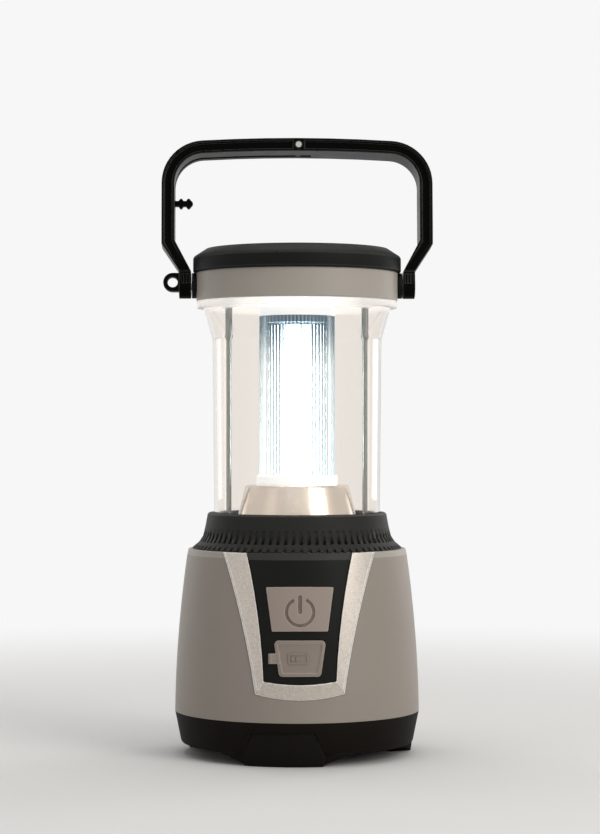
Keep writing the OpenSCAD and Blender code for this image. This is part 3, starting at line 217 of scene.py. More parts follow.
# %% Lay the paper
def paper_material():
    """Paper near the lantern, fading to the world's white further out for the rays that see it."""
    made, tree, shader = new_finish("studio_paper")
    shader.inputs["Base Color"].default_value = rgb(228, 227, 225)
    shader.inputs["Roughness"].default_value = 0.85
    length = tree.nodes.new("ShaderNodeVectorMath")
    length.operation = "LENGTH"
    tree.links.new(object_space(tree), length.inputs[0])
    far = ramp(tree, length.outputs["Value"], FADE_FROM, FADE_TO, smooth=True)
    white = tree.nodes.new("ShaderNodeEmission")
    white.inputs["Color"].default_value = (PAPER_WHITE, PAPER_WHITE, PAPER_WHITE, 1)
    show_both(tree, math_node(tree, "MULTIPLY", far, seen_white(tree)),
              shader.outputs[0], white.outputs[0])
    return made


paper = studio_paper()
paper.data.materials.append(paper_material())
print("paper laid,", 2 * PAPER_REACH, "m wide")

# %% Set the lamps
# name, place, the point it looks at, width, height, watts, colour
lamp_plan = (
    ("key_right", (0.95, -0.95, 0.75), (0, 0, 0.13), 0.7, 0.9, 8.5, (1.0, 0.97, 0.93)),
    ("fill_left", (-1.15, -0.75, 0.45), (0, 0, 0.13), 0.6, 0.9, 0.45, (1.0, 0.95, 0.88)),
    ("top_sheet", (0, 0.1, 1.25), (0, 0, 0.1), 0.9, 0.9, 6, (1.0, 1.0, 1.0)),
    ("edge_left", (-0.75, 0.75, 0.5), (0, 0, 0.15), 0.3, 0.9, 0.8, (1.0, 0.99, 0.97)),
    ("edge_right", (0.75, 0.75, 0.5), (0, 0, 0.15), 0.3, 0.9, 1.5, (1.0, 0.97, 0.93)),
)
for row in lamp_plan:
    softbox(*row)
print("lamps:", [row[0] for row in lamp_plan])

# %% World and colour management
ROOM_GREY = 0.30


def studio_world():
    """A plain room that is brighter to the rays that see it than to those it lights."""
    made = bpy.data.worlds.new("studio_world")
    made.use_nodes = True
    tree = made.node_tree
    room = tree.nodes["Background"]
    room.inputs["Color"].default_value = (1, 1, 1, 1)
    level = ramp(tree, seen_white(tree), 0.0, 1.0, ROOM_GREY, PAPER_WHITE)
    tree.links.new(level, room.inputs["Strength"])
    return made


bpy.context.scene.world = studio_world()
bpy.context.scene.view_settings.view_transform = "Standard"
print("the room lights at", ROOM_GREY, "and is seen at", PAPER_WHITE)

# %% [markdown]
# ## Effects that several finishes share
# A moulded plastic is never one flat colour: the mould gives it a fine grain, the colour drifts a
# little, and rubbed edges are paler; the paler edges also stand in as a painted highlight where the
# rounded edges catch the light. These effects are node groups with named inputs, built once and
# placed in each finish with its own numbers. They read Object coordinates, so they stay put on the
# piece from every side, and they put out only colours, values and heights.

# %% A helper for node groups
def node_group(name, inputs, outputs):
    """A shader node group with named sockets. Returns its tree, entry node and exit node."""
    tree = bpy.data.node_groups.new(name, "ShaderNodeTree")
    for kind, label, value in inputs:
        socket = tree.interface.new_socket(label, in_out="INPUT", socket_type=kind)
        socket.default_value = value
    for kind, label in outputs:
        tree.interface.new_socket(label, in_out="OUTPUT", socket_type=kind)
    return tree, tree.nodes.new("NodeGroupInput"), tree.nodes.new("NodeGroupOutput")


# %% Helpers for noise and for swings about the middle
def noise(tree, vector, scale, detail=2.0, roughness=0.5):
    """A noise texture's value, between 0 and 1."""
    made = tree.nodes.new("ShaderNodeTexNoise")
    made.inputs["Detail"].default_value = detail
    made.inputs["Roughness"].default_value = roughness
    tree.links.new(vector, made.inputs["Vector"])
    if isinstance(scale, bpy.types.NodeSocket):
        tree.links.new(scale, made.inputs["Scale"])
    else:
        made.inputs["Scale"].default_value = scale
    return made.outputs["Fac"]


def swing(tree, value, amount):
    """How far a value between 0 and 1 is from its middle, times an amount."""
    return math_node(tree, "MULTIPLY", math_node(tree, "SUBTRACT", value, 0.5), amount)


# %% Helpers for colour
def mix_colour(tree, share, first, second):
    """A colour mix whose inputs are sockets or plain values. Returns its output."""
    made = tree.nodes.new("ShaderNodeMix")
    made.data_type = "RGBA"
    for label, value in (("Factor", share), ("A", first), ("B", second)):
        socket = [s for s in made.inputs if s.name == label and s.enabled][0]
        if isinstance(value, bpy.types.NodeSocket):
            tree.links.new(value, socket)
        else:
            socket.default_value = value
    return [s for s in made.outputs if s.enabled][0]


def scaled(tree, colour, gain):
    """A colour made lighter or darker by a number. Both are sockets."""
    made = tree.nodes.new("ShaderNodeVectorMath")
    made.operation = "SCALE"
    tree.links.new(colour, made.inputs[0])
    tree.links.new(gain, made.inputs["Scale"])
    return made.outputs[0]


# %% Moulded skin
def make_moulded_skin():
    """Fine mould grain, slow drift of the colour, and gloss that varies from place to place."""
    tree, entry, exit_node = node_group(
        "moulded_skin",
        [
            ("NodeSocketColor", "Colour", (0.3, 0.3, 0.3, 1)),
            ("NodeSocketFloat", "Grain scale", 2600.0),
            ("NodeSocketFloat", "Drift", 0.06),
            ("NodeSocketFloat", "Roughness", 0.5),
            ("NodeSocketFloat", "Rough spread", 0.12),
        ],
        [
            ("NodeSocketColor", "Colour"),
            ("NodeSocketFloat", "Roughness"),
            ("NodeSocketFloat", "Grain"),
        ],
    )
    wide_patches, small_patches = 22.0, 95.0  # noise scales: about 45 mm and 10 mm across
    place = object_space(tree)
    grain = noise(tree, place, entry.outputs["Grain scale"], 3.0, 0.6)
    slow = noise(tree, place, wide_patches, 3.0, 0.55)
    cloud = noise(tree, place, small_patches, 4.0, 0.6)
    tone = swing(tree, slow, entry.outputs["Drift"])
    speck = swing(tree, grain, entry.outputs["Drift"])
    both = math_node(tree, "ADD", tone, speck)
    gain = math_node(tree, "ADD", 1.0, math_node(tree, "MULTIPLY", both, 2.0))
    tree.links.new(scaled(tree, entry.outputs["Colour"], gain), exit_node.inputs["Colour"])
    spread = swing(tree, cloud, entry.outputs["Rough spread"])
    tree.links.new(math_node(tree, "ADD", entry.outputs["Roughness"], spread),
                   exit_node.inputs["Roughness"])
    tree.links.new(grain, exit_node.inputs["Grain"])
    return tree


moulded_skin = make_moulded_skin()
print("made the group", moulded_skin.name)

# %% Rubbed edges
def make_rubbed_and_lit_edges():
    """A mask, 1 on the rounded edges and broken by noise, as handling rubs them; it also paints
    their highlight.
    """
    tree, entry, exit_node = node_group(
        "rubbed_and_lit_edges",
        [("NodeSocketFloat", "Amount", 0.5), ("NodeSocketFloat", "Scale", 600.0)],
        [("NodeSocketFloat", "Mask")],
    )
    edge = tree.nodes.new("ShaderNodeAttribute")
    edge.attribute_name = "rim"
    spared, bare = 0.32, 0.46  # where the noise is below the first, no rubbing shows
    broken = noise(tree, object_space(tree), entry.outputs["Scale"], 4.0, 0.65)
    patch = math_node(tree, "MULTIPLY", edge.outputs["Fac"], ramp(tree, broken, spared, bare))
    tree.links.new(math_node(tree, "MULTIPLY", patch, entry.outputs["Amount"]),
                   exit_node.inputs["Mask"])
    return tree


rubbed_and_lit_edges = make_rubbed_and_lit_edges()
print("made the group", rubbed_and_lit_edges.name)

# %% Settled dust
def make_settled_dust():
    """Dust lies on faces that look up, thicker in patches."""
    tree, entry, exit_node = node_group(
        "settled_dust",
        [("NodeSocketFloat", "Amount", 0.1)],
        [("NodeSocketFloat", "Mask")],
    )
    facing = tree.nodes.new("ShaderNodeNewGeometry").outputs["Normal"]
    up = math_node(tree, "MAXIMUM", split(tree, facing)["Z"], 0.0)
    patch = noise(tree, object_space(tree), 160.0, 5.0, 0.7)
    lying = math_node(tree, "MULTIPLY", up, patch)
    tree.links.new(math_node(tree, "MULTIPLY", lying, entry.outputs["Amount"]),
                   exit_node.inputs["Mask"])
    return tree


settled_dust = make_settled_dust()
print("made the group", settled_dust.name)

# %% [markdown]
# ## Plastics and rubbers
# All the moulded parts share one recipe: colour and gloss come from the moulded skin, a little dust
# lies on what looks up, corners are rubbed lighter, which also paints their highlight, and the grain
# is a shallow bump. Each finish differs only in its numbers, which is how a maker would write its
# surface specification.

# %% Helpers that put an effect into a finish
def place_group(tree, group, values):
    """A shared effect as one node of a finish, with its inputs set. Returns its outputs."""
    made = tree.nodes.new("ShaderNodeGroup")
    made.node_tree = group
    for label, value in values.items():
        made.inputs[label].default_value = value
    return made.outputs


def shallow_bump(tree, shader, height, strength, deep):
    """Tilts the light on the surface as a height of this many metres would."""
    bump = tree.nodes.new("ShaderNodeBump")
    bump.inputs["Strength"].default_value = strength
    bump.inputs["Distance"].default_value = deep
    tree.links.new(height, bump.inputs["Height"])
    tree.links.new(bump.outputs["Normal"], shader.inputs["Normal"])


# %% The moulded finish
DUST_COLOUR = rgb(176, 166, 150)
GRAIN_DEEP = 0.06 * MM


def moulded(name, colour, roughness, grain=0.35, grain_scale=2600, drift=0.05, dust=0.05,
            rub_and_highlight=0.10, coat=0.0, specular=0.5):
    """One plastic or rubber: a colour, its gloss, and how strong each of the shared effects is."""
    made, tree, shader = new_finish(name)
    skin = place_group(tree, moulded_skin, {
        "Colour": colour, "Grain scale": grain_scale, "Drift": drift, "Roughness": roughness})
    wear_and_highlight = place_group(tree, rubbed_and_lit_edges, {"Amount": rub_and_highlight})
    settled = place_group(tree, settled_dust, {"Amount": dust})
    lighter = [min(1.0, c * 1.5 + 0.06) for c in colour[:3]] + [1]
    # Lighter edges: partly rubbed wear, partly a painted edge highlight.
    worn_and_lit = mix_colour(tree, wear_and_highlight["Mask"], skin["Colour"], lighter)
    tree.links.new(mix_colour(tree, settled["Mask"], worn_and_lit, DUST_COLOUR),
                   shader.inputs["Base Color"])
    duller = math_node(tree, "MULTIPLY", settled["Mask"], 0.5)
    tree.links.new(math_node(tree, "ADD", skin["Roughness"], duller), shader.inputs["Roughness"])
    shallow_bump(tree, shader, skin["Grain"], grain, GRAIN_DEEP)
    shader.inputs["Coat Weight"].default_value = coat
    shader.inputs["Coat Roughness"].default_value = 0.12
    shader.inputs["Specular IOR Level"].default_value = specular
    return made


# %% The plastics and rubbers of the lantern
finish = {
    "skirt_plastic": moulded("skirt_plastic", rgb(20, 16, 13), 0.6, 0.5, 1800, dust=0.02,
                             specular=0.07),
    "foot_rubber": moulded("foot_rubber", rgb(20, 17, 15), 0.75, 0.7, 1500, dust=0.04,
                           specular=0.10),
    "shell_plastic": moulded("shell_plastic", rgb(152, 143, 134), 0.46, 0.30, 2400, specular=0.35),
    "key_grey": moulded("key_grey", rgb(158, 145, 136), 0.52, 0.30, 2600, rub_and_highlight=0.6, specular=0.35),
    "flap_rubber": moulded("flap_rubber", rgb(146, 135, 126), 0.60, 0.45, 2000, rub_and_highlight=0.6,
                           specular=0.3),
    "switch_black": moulded("switch_black", rgb(30, 30, 32), 0.35),
    "cradle_black": moulded("cradle_black", rgb(38, 38, 40), 0.5),
    "ring_black": moulded("ring_black", rgb(43, 43, 41), 0.52, 0.4, 2000, dust=0.04, rub_and_highlight=0.7,
                          specular=0.09),
    "deck_black": moulded("deck_black", rgb(30, 30, 30), 0.5, specular=0.2),
    "seal_silicone": moulded("seal_silicone", rgb(214, 212, 206), 0.55),
    "lamp_white": moulded("lamp_white", rgb(236, 237, 238), 0.35, 0.1, dust=0.0, rub_and_highlight=0.0),
    # The head ring is the shell's grey plastic made lighter: a painted highlight for the lamp's
    # light on it.
    "head_grey": moulded("head_grey", rgb(173, 166, 157), 0.46, 0.30, 2400, rub_and_highlight=0.4, specular=0.35),
    "cap_black": moulded("cap_black", rgb(22, 23, 22), 0.55, 0.6, 1500, dust=0.05, rub_and_highlight=0.3,
                         specular=0.10),
    "pad_black": moulded("pad_black", rgb(16, 16, 16), 0.55, specular=0.1),
    "bail_black": moulded("bail_black", rgb(7, 7, 6), 0.30, 0.12, 1600, drift=0.03, dust=0.01,
                          rub_and_highlight=0.6, specular=0.03),
}
print("moulded finishes:", len(finish))

# %% A lighter band under the ring: satin on the panel, a painted highlight on the shell
BAND_SOFTNESS = 0.3 * MM
under_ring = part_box("control_panel")[1].z


def lighter_top_band(made, high, colour):
    """A lighter band, this many millimetres high, at the top: polished by the mould on the panel, a
    painted highlight on the shell.
    """
    tree = made.node_tree
    shader = tree.nodes["Principled BSDF"]
    edge = under_ring - high * MM
    band = ramp(tree, split(tree, object_space(tree))["Z"], edge - BAND_SOFTNESS, edge)
    plain = shader.inputs["Base Color"].links[0].from_socket
    tree.links.new(mix_colour(tree, band, plain, colour), shader.inputs["Base Color"])
    print("satin band on", made.name, "from", round(edge / MM, 1), "mm up")
    return made


finish["panel_black"] = lighter_top_band(
    moulded("panel_black", rgb(18, 19, 16), 0.45, 0.35, 2200, dust=0.01, rub_and_highlight=0.5, specular=0.12),
    2.8, rgb(58, 59, 58))
# On the shell this band is a painted highlight, where the top shoulder catches the light.
lighter_top_band(finish["shell_plastic"], 2.4, rgb(172, 166, 158))

# %% Painted shade in the key's symbol
GROOVE_SHADE = rgb(58, 52, 48)


def paint_groove_shade(made, share):
    """Painted shade in the cut symbol: the faces marked as groove are darker, in patches."""
    tree = made.node_tree
    shader = tree.nodes["Principled BSDF"]
    sunk = tree.nodes.new("ShaderNodeAttribute")
    sunk.attribute_name = "groove"
    cloud = noise(tree, object_space(tree), 500.0, 3.0)
    patchy = math_node(tree, "MULTIPLY_ADD", cloud, 0.5, share - 0.25)
    # Painted shade: the hollow of the symbol is darkened as if in its own shadow.
    groove_shade = math_node(tree, "MULTIPLY", sunk.outputs["Fac"], patchy)
    plain = shader.inputs["Base Color"].links[0].from_socket
    tree.links.new(mix_colour(tree, groove_shade, plain, GROOVE_SHADE), shader.inputs["Base Color"])
    return made


# The darker symbol on the key is painted shade.
paint_groove_shade(finish["key_grey"], 0.55)
print("grime in the symbol of the key")

# %% [markdown]
# ## Metals
# The bezel is moulded plastic sprayed with a silver paint. Its flakes lie at slightly different
# angles, so single points sparkle; a cell pattern gives each flake its own brightness and tilt.
# Turned and brushed metal has fine lines along the cut, made by noise that is stretched one way.

# %% Metal flakes
def make_metal_flakes():
    """Small cells, each with its own brightness, gloss and tilt."""
    tree, entry, exit_node = node_group(
        "metal_flakes",
        [
            ("NodeSocketColor", "Colour", (0.6, 0.6, 0.6, 1)),
            ("NodeSocketFloat", "Scale", 2600.0),
            ("NodeSocketFloat", "Contrast", 0.3),
        ],
        [
            ("NodeSocketColor", "Colour"),
            ("NodeSocketFloat", "Roughness"),
            ("NodeSocketFloat", "Height"),
        ],
    )
    place = object_space(tree)
    cells = tree.nodes.new("ShaderNodeTexVoronoi")
    tree.links.new(place, cells.inputs["Vector"])
    tree.links.new(entry.outputs["Scale"], cells.inputs["Scale"])
    parts = tree.nodes.new("ShaderNodeSeparateColor")
    tree.links.new(cells.outputs["Color"], parts.inputs[0])
    cloud = noise(tree, place, 420.0, 4.0, 0.7)
    grey = math_node(tree, "ADD", math_node(tree, "MULTIPLY", parts.outputs[0], 0.6),
                     math_node(tree, "MULTIPLY", cloud, 0.4))
    gain = math_node(tree, "ADD", 1.0, swing(tree, grey, entry.outputs["Contrast"]))
    tree.links.new(scaled(tree, entry.outputs["Colour"], gain), exit_node.inputs["Colour"])
    gloss = math_node(tree, "MULTIPLY", parts.outputs[1], 0.16)
    tree.links.new(math_node(tree, "ADD", 0.30, gloss), exit_node.inputs["Roughness"])
    tree.links.new(parts.outputs[2], exit_node.inputs["Height"])
    return tree


metal_flakes = make_metal_flakes()
print("made the group", metal_flakes.name)

# %% Silver paint
RUBBED_AND_LIT_PAINT = (0.95, 0.94, 0.92, 1)
FLAKES_PER_METRE = 2300
FLAKE_DEEP = 0.04 * MM


def flake_paint(name, colour, metallic):
    """A thin coat of flakes under a little clear lacquer, its edges bright: rubbed paint and a
    painted highlight.
    """
    made, tree, shader = new_finish(name)
    flakes = place_group(tree, metal_flakes, {
        "Colour": colour, "Scale": FLAKES_PER_METRE, "Contrast": 0.42})
    wear_and_highlight = place_group(tree, rubbed_and_lit_edges, {"Amount": 0.85})
    # Bright edges: partly rubbed paint, partly a painted edge highlight.
    tree.links.new(mix_colour(tree, wear_and_highlight["Mask"], flakes["Colour"], RUBBED_AND_LIT_PAINT),
                   shader.inputs["Base Color"])
    tree.links.new(flakes["Roughness"], shader.inputs["Roughness"])
    shallow_bump(tree, shader, flakes["Height"], 0.25, FLAKE_DEEP)
    shader.inputs["Metallic"].default_value = metallic
    shader.inputs["Coat Weight"].default_value = 0.25
    shader.inputs["Coat Roughness"].default_value = 0.2
    return made


finish["bezel_silver"] = flake_paint("bezel_silver", rgb(197, 188, 178), 0.5)
print("paint flakes about", round(1000 / FLAKES_PER_METRE, 2), "mm wide")

# %% Brushed and turned metal
LINE_DEEP = 0.02 * MM
LINE_SCALE = 900


def brushed(name, colour, roughness, squeeze, strength=0.25, depth=0.28):
    """Metal with fine lines; squeeze below 1 along an axis makes the lines run that way.

    depth is how much darker the lines are; a satin surface has next to none."""
    made, tree, shader = new_finish(name)
    lines = noise(tree, object_space(tree, squeeze), LINE_SCALE, 4.0, 0.6)
    cloud = noise(tree, object_space(tree), 120.0, 3.0, 0.6)
    darker = [c * (1 - depth) for c in colour[:3]] + [1]
    tree.links.new(mix_colour(tree, lines, darker, colour), shader.inputs["Base Color"])
    uneven = math_node(tree, "SUBTRACT", math_node(tree, "ADD", lines, cloud), 1.0)
    spread = math_node(tree, "MULTIPLY", uneven, 0.64 * depth)
    tree.links.new(math_node(tree, "ADD", roughness, spread), shader.inputs["Roughness"])
    shallow_bump(tree, shader, lines, strength, LINE_DEEP)
    shader.inputs["Metallic"].default_value = 1.0
    return made


# %% The metals of the lantern
ALONG_Z = (1, 1, 0.03)
ALONG_X = (0.03, 1, 1)
finish["screw_steel"] = brushed("screw_steel", rgb(196, 196, 198), 0.32, (1, 1, 0.3))
finish["socket_steel"] = brushed("socket_steel", rgb(200, 200, 202), 0.28, ALONG_X)
finish["contact_nickel"] = brushed("contact_nickel", rgb(208, 204, 196), 0.3, ALONG_X)
finish["reflector_silver"] = brushed(
    "reflector_silver", rgb(218, 208, 199), 0.24, (1, 1, 0.15), strength=0.0, depth=0.06)
finish["post_aluminium"] = brushed("post_aluminium", rgb(214, 215, 218), 0.3, ALONG_Z)
finish["rod_steel"] = brushed("rod_steel", rgb(140, 144, 141), 0.22, ALONG_Z)
finish["pin_steel"] = brushed("pin_steel", rgb(205, 200, 194), 0.25, (1, 0.2, 1))
print("finishes so far:", len(finish))

# %% [markdown]
# ## Clear parts and the light itself
# The globe is clear polycarbonate. A lamp's light would have to be traced through both its walls,
# which is slow and noisy, so rays that only ask whether a lamp is visible pass straight through:
# the Light Path node mixes in a Transparent shader for those rays alone. The ribbed sleeve is the
# same, but slightly milky and tinted. It has a painted glow, strongest low down, where the board is
# brightest, and its ribs carry painted light and shade; the globe's matt lip has a painted glow too.

# %% Clear plastic
def clear_plastic(name, colour, roughness, ior, ripple=0.0):
    """A clear material, its node tree and its shader; ripple is how uneven its gloss is."""
    made, tree, shader = new_finish(name)
    shader.inputs["Base Color"].default_value = colour
    shader.inputs["IOR"].default_value = ior
    shader.inputs["Transmission Weight"].default_value = 1.0
    haze = noise(tree, object_space(tree, (1, 1, 0.25)), 60.0, 4.0, 0.6)
    tree.links.new(math_node(tree, "ADD", roughness, math_node(tree, "MULTIPLY", haze, ripple)),
                   shader.inputs["Roughness"])
    path = tree.nodes.new("ShaderNodeLightPath")
    let_through = tree.nodes.new("ShaderNodeBsdfTransparent")
    let_through.inputs["Color"].default_value = colour
    show_both(tree, path.outputs["Is Shadow Ray"], shader.outputs[0], let_through.outputs[0])
    return made, tree, shader


# %% The globe
GLOBE_TINT = (0.935, 0.905, 0.87, 1)
SLANTED_TINT = (0.80, 0.71, 0.65, 1)
LIP_PAINTED_GLOW = (1.0, 0.98, 0.95, 1)
DARK = (0, 0, 0, 1)
lip_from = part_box("head_ring")[0].z - 5.0 * MM
lip_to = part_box("head_ring")[0].z - 3.4 * MM


def globe_plastic():
    """Polished all over, except for the matt lip that seats in the head.

    Light that crosses the wall at a slant goes a longer way through it and is tinted more. A clear
    wall also pipes the lamp's light along itself out where the wall ends; here that light is a
    painted glow on the matt lip."""
    made, tree, shader = clear_plastic("globe_clear", GLOBE_TINT, 0.0, 1.36, 0.02)
    z = split(tree, object_space(tree))["Z"]
    matt = ramp(tree, z, lip_from, lip_to, high=0.35, smooth=True)
    polished = shader.inputs["Roughness"].links[0].from_socket
    tree.links.new(math_node(tree, "MAXIMUM", polished, matt), shader.inputs["Roughness"])
    slant = tree.nodes.new("ShaderNodeLayerWeight")
    slant.inputs["Blend"].default_value = 0.35
    long_way = math_node(tree, "POWER", slant.outputs["Facing"], 2.0)
    tree.links.new(mix_colour(tree, long_way, GLOBE_TINT, SLANTED_TINT),
                   shader.inputs["Base Color"])
    # Painted glow on the matt lip, standing in for the lamp's light piped out of the wall.
    lip_glow = math_node(tree, "MULTIPLY", matt, 1.1)
    tree.links.new(mix_colour(tree, lip_glow, DARK, LIP_PAINTED_GLOW), shader.inputs["Emission Color"])
    shader.inputs["Emission Strength"].default_value = 0.35
    return made


finish["globe_clear"] = globe_plastic()
print("globe: polished up to", round(lip_from / MM, 1), "mm, with a matt lip above")

# %% The ribs of the sleeve
sleeve_low, sleeve_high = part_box("fluted_diffuser")
RIBS = 60
SHADED_TOP = 26 * MM


def rib_lines(tree, count):
    """A wave round the sleeve's axis with one crest to each rib, and the height above ground."""
    place = split(tree, object_space(tree))
    angle = math_node(tree, "ARCTAN2", place["Y"], place["X"])
    wave = math_node(tree, "SINE", math_node(tree, "MULTIPLY", angle, count))
    return math_node(tree, "MULTIPLY_ADD", wave, 0.5, 0.5), place["Z"]


print("sleeve:", RIBS, "ribs,", round((sleeve_high.z - sleeve_low.z) / MM, 1), "mm high")

# %% The ribbed sleeve
GLOW_AT_FOOT, GLOW_AT_TOP = 0.30, 0.02
COOL_LIGHT = (0.90, 0.98, 1.0, 1)


def ribbed_sleeve():
    """Tinted prismatic ribs with painted light and shade: light crests, darker valleys, a painted
    shade over the top, and a painted glow that falls off up the sleeve.
    """
    made, tree, shader = clear_plastic("diffuser_clear", (0.93, 0.96, 0.965, 1), 0.15, 1.22, 0.01)
    wave, z = rib_lines(tree, RIBS)
    crest = ramp(tree, wave, 0.25, 0.85)
    # Painted shade: valleys darker than crests, and the top darker where no lamp lies behind it.
    shade = ramp(tree, z, sleeve_high.z - SHADED_TOP, sleeve_high.z - 2 * MM, smooth=True)
    valley_painted_shade = mix_colour(tree, shade, rgb(168, 184, 192), rgb(96, 116, 128))
    ridge_painted_light = mix_colour(tree, shade, rgb(246, 250, 251), rgb(150, 170, 182))
    tree.links.new(mix_colour(tree, crest, valley_painted_shade, ridge_painted_light), shader.inputs["Base Color"])
    # A painted glow, standing in for the lamp's light scattered in the sleeve, strongest at the
    # foot.
    fading = ramp(tree, z, sleeve_low.z, sleeve_high.z, GLOW_AT_FOOT, GLOW_AT_TOP)
    glow = math_node(tree, "MULTIPLY", fading, crest)
    tree.links.new(mix_colour(tree, glow, DARK, COOL_LIGHT), shader.inputs["Emission Color"])
    shader.inputs["Emission Strength"].default_value = 1.0
    return made


finish["diffuser_clear"] = ribbed_sleeve()
print("the sleeve glows", GLOW_AT_FOOT, "at its foot and", GLOW_AT_TOP, "at its top")

# %% The lit lamp board
LAMP_STRENGTH = 12.0
CHIPS_PER_METRE = 210


def lit_board():
    """Cool white phosphor, driven hard; rows of small square chips show as brighter cells."""
    made, tree, shader = new_finish("led_white")
    shader.inputs["Base Color"].default_value = (0.95, 0.95, 0.88, 1)
    shader.inputs["Roughness"].default_value = 0.5
    cells = tree.nodes.new("ShaderNodeTexVoronoi")
    cells.distance = "CHEBYCHEV"
    cells.inputs["Randomness"].default_value = 0.0
    cells.inputs["Scale"].default_value = CHIPS_PER_METRE
    tree.links.new(object_space(tree), cells.inputs["Vector"])
    chip, gap = (1.0, 0.99, 0.96, 1), (0.75, 0.80, 0.86, 1)
    tree.links.new(mix_colour(tree, cells.outputs["Distance"], chip, gap),
                   shader.inputs["Emission Color"])
    shader.inputs["Emission Strength"].default_value = LAMP_STRENGTH
    return made


finish["led_white"] = lit_board()
print("lamp chips", round(1000 / CHIPS_PER_METRE, 1), "mm apart, strength", LAMP_STRENGTH)

# %% Painted glow of the white collars
# The collars are thin white plastic round the lamp, so some of its light comes through their walls;
# here that light is a painted glow of their own.
COLLAR_PAINTED_GLOW = 0.44
collar_shader = finish["lamp_white"].node_tree.nodes["Principled BSDF"]
collar_shader.inputs["Emission Color"].default_value = (0.88, 0.94, 1.0, 1)
collar_shader.inputs["Emission Strength"].default_value = COLLAR_PAINTED_GLOW
print("the collars glow at", COLLAR_PAINTED_GLOW)

# %% Battery sleeve and circuit board
finish["cell_wrap"] = moulded("cell_wrap", rgb(52, 104, 168), 0.3, 0.05, dust=0.0, rub_and_highlight=0.0,
                              coat=0.5)
finish["board_green"] = moulded("board_green", rgb(30, 92, 56), 0.35, 0.2, 900, dust=0.0, rub_and_highlight=0.0)
print("finishes in all:", len(finish))

# %% [markdown]
# ## Dress the pieces of the frame
# Each piece of the frame takes the finish of its own slot in the record. A frame piece is loose
# triangles with razor edges, and no moulded edge is that sharp: it catches no light. So each piece
# that shows is copied, its triangles are merged back into whole faces, its sharp edges get a small
# bevel, and the copy stands for the frame's piece at exactly the same place. A bevel modifier could
# do the same, but the operator also tells which faces it made, and the finishes make those lighter,
# as rubbed wear and as a painted edge highlight.

# %% Assign the finishes
slot_of = {row["node"]: row["material_slot"] for row in frame["record"]["subparts"]}
bodies = frame["record"]["behaviour"]["bodies"]
body_of = {piece: body for body, pieces in bodies.items() for piece in pieces}
for name, part in nodes.items():
    part.data.materials.clear()
    part.data.materials.append(finish[slot_of[name]])
print("dressed", len(nodes), "pieces in", len(set(slot_of.values())), "finishes")

# %% A merged copy
WELD = 0.002 * MM
FLAT_WITHIN = math.radians(0.6)


def merged_copy(node):
    """The frame piece as one welded mesh whose flat faces are whole again."""
    bm = bmesh.new()
    bm.from_mesh(nodes[node].data)
    bmesh.ops.remove_doubles(bm, verts=bm.verts, dist=WELD)
    bmesh.ops.dissolve_limit(bm, angle_limit=FLAT_WITHIN, verts=bm.verts, edges=bm.edges)
    return bm


# %% A copy that stands for its frame piece
flat_sided = ("bail", "hook", "power_button", "bezel_frame")


def stand_in(bm, name, node, smooth_angle=32):
    """Turns a finished bmesh into a piece that stands for a frame piece and moves with its body.

    On flat-sided pieces each point is shaded as the larger faces are, so the flats stay flat."""
    for f in bm.faces:
        f.smooth = True
    mesh = bpy.data.meshes.new(name)
    bm.to_mesh(mesh)
    bm.free()
    mesh.set_sharp_from_angle(angle=math.radians(smooth_angle))
    made = link_new(name, mesh)
    made.data.materials.append(finish[slot_of[node]])
    if node in flat_sided:
        weighted = made.modifiers.new("flat_sides", "WEIGHTED_NORMAL")
        weighted.keep_sharp = True
    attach(made, body_of[node])
    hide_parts(node)
    return made


# %% Which edges are sharp, and which have room
def sharp_edges(bm, angle):
    return [e for e in bm.edges
            if len(e.link_faces) == 2 and e.calc_face_angle(0) > math.radians(angle)]


def has_room(edge, sharp, width):
    """No short edge that stays as it is leaves from this edge's ends."""
    return all(other is edge or other in sharp or other.calc_length() >= width
               for v in edge.verts for other in v.link_edges)


# %% Grooves and stray points
def mark_grooves(bm, deep):
    """Marks the front faces that lie deeper than this under the outline, in the layer groove."""
    hull = bmesh.new()
    for v in bm.verts:
        hull.verts.new(v.co)
    bmesh.ops.convex_hull(hull, input=hull.verts)
    outline = BVHTree.FromBMesh(hull)
    hull.free()
    groove = bm.loops.layers.float_color.new("groove")
    for f in bm.faces:
        sunk = f.normal.y < -0.5 and outline.find_nearest(f.calc_center_median())[3] > deep
        for loop in f.loops:
            loop[groove] = (1, 1, 1, 1) if sunk else (0, 0, 0, 1)


def put_back(bm, node, far):
    """A bevel can throw a point off the piece where short edges meet. It is put back here."""
    shape = bmesh.new()
    shape.from_mesh(nodes[node].data)
    surface = BVHTree.FromBMesh(shape)
    shape.free()
    for v in bm.verts:
        near, _, _, distance = surface.find_nearest(v.co)
        if distance > far:
            v.co = near


# %% Round the edges of a copy
SHARP = 35  # degrees
SEGMENTS = 2
SHORTEST = 0.1 * MM  # corners closer than this are joined, so that the bevel doesn't fold over
STRAY = 0.6  # a point further off than this share of the bevel goes back


def any_edge(edge):
    return True


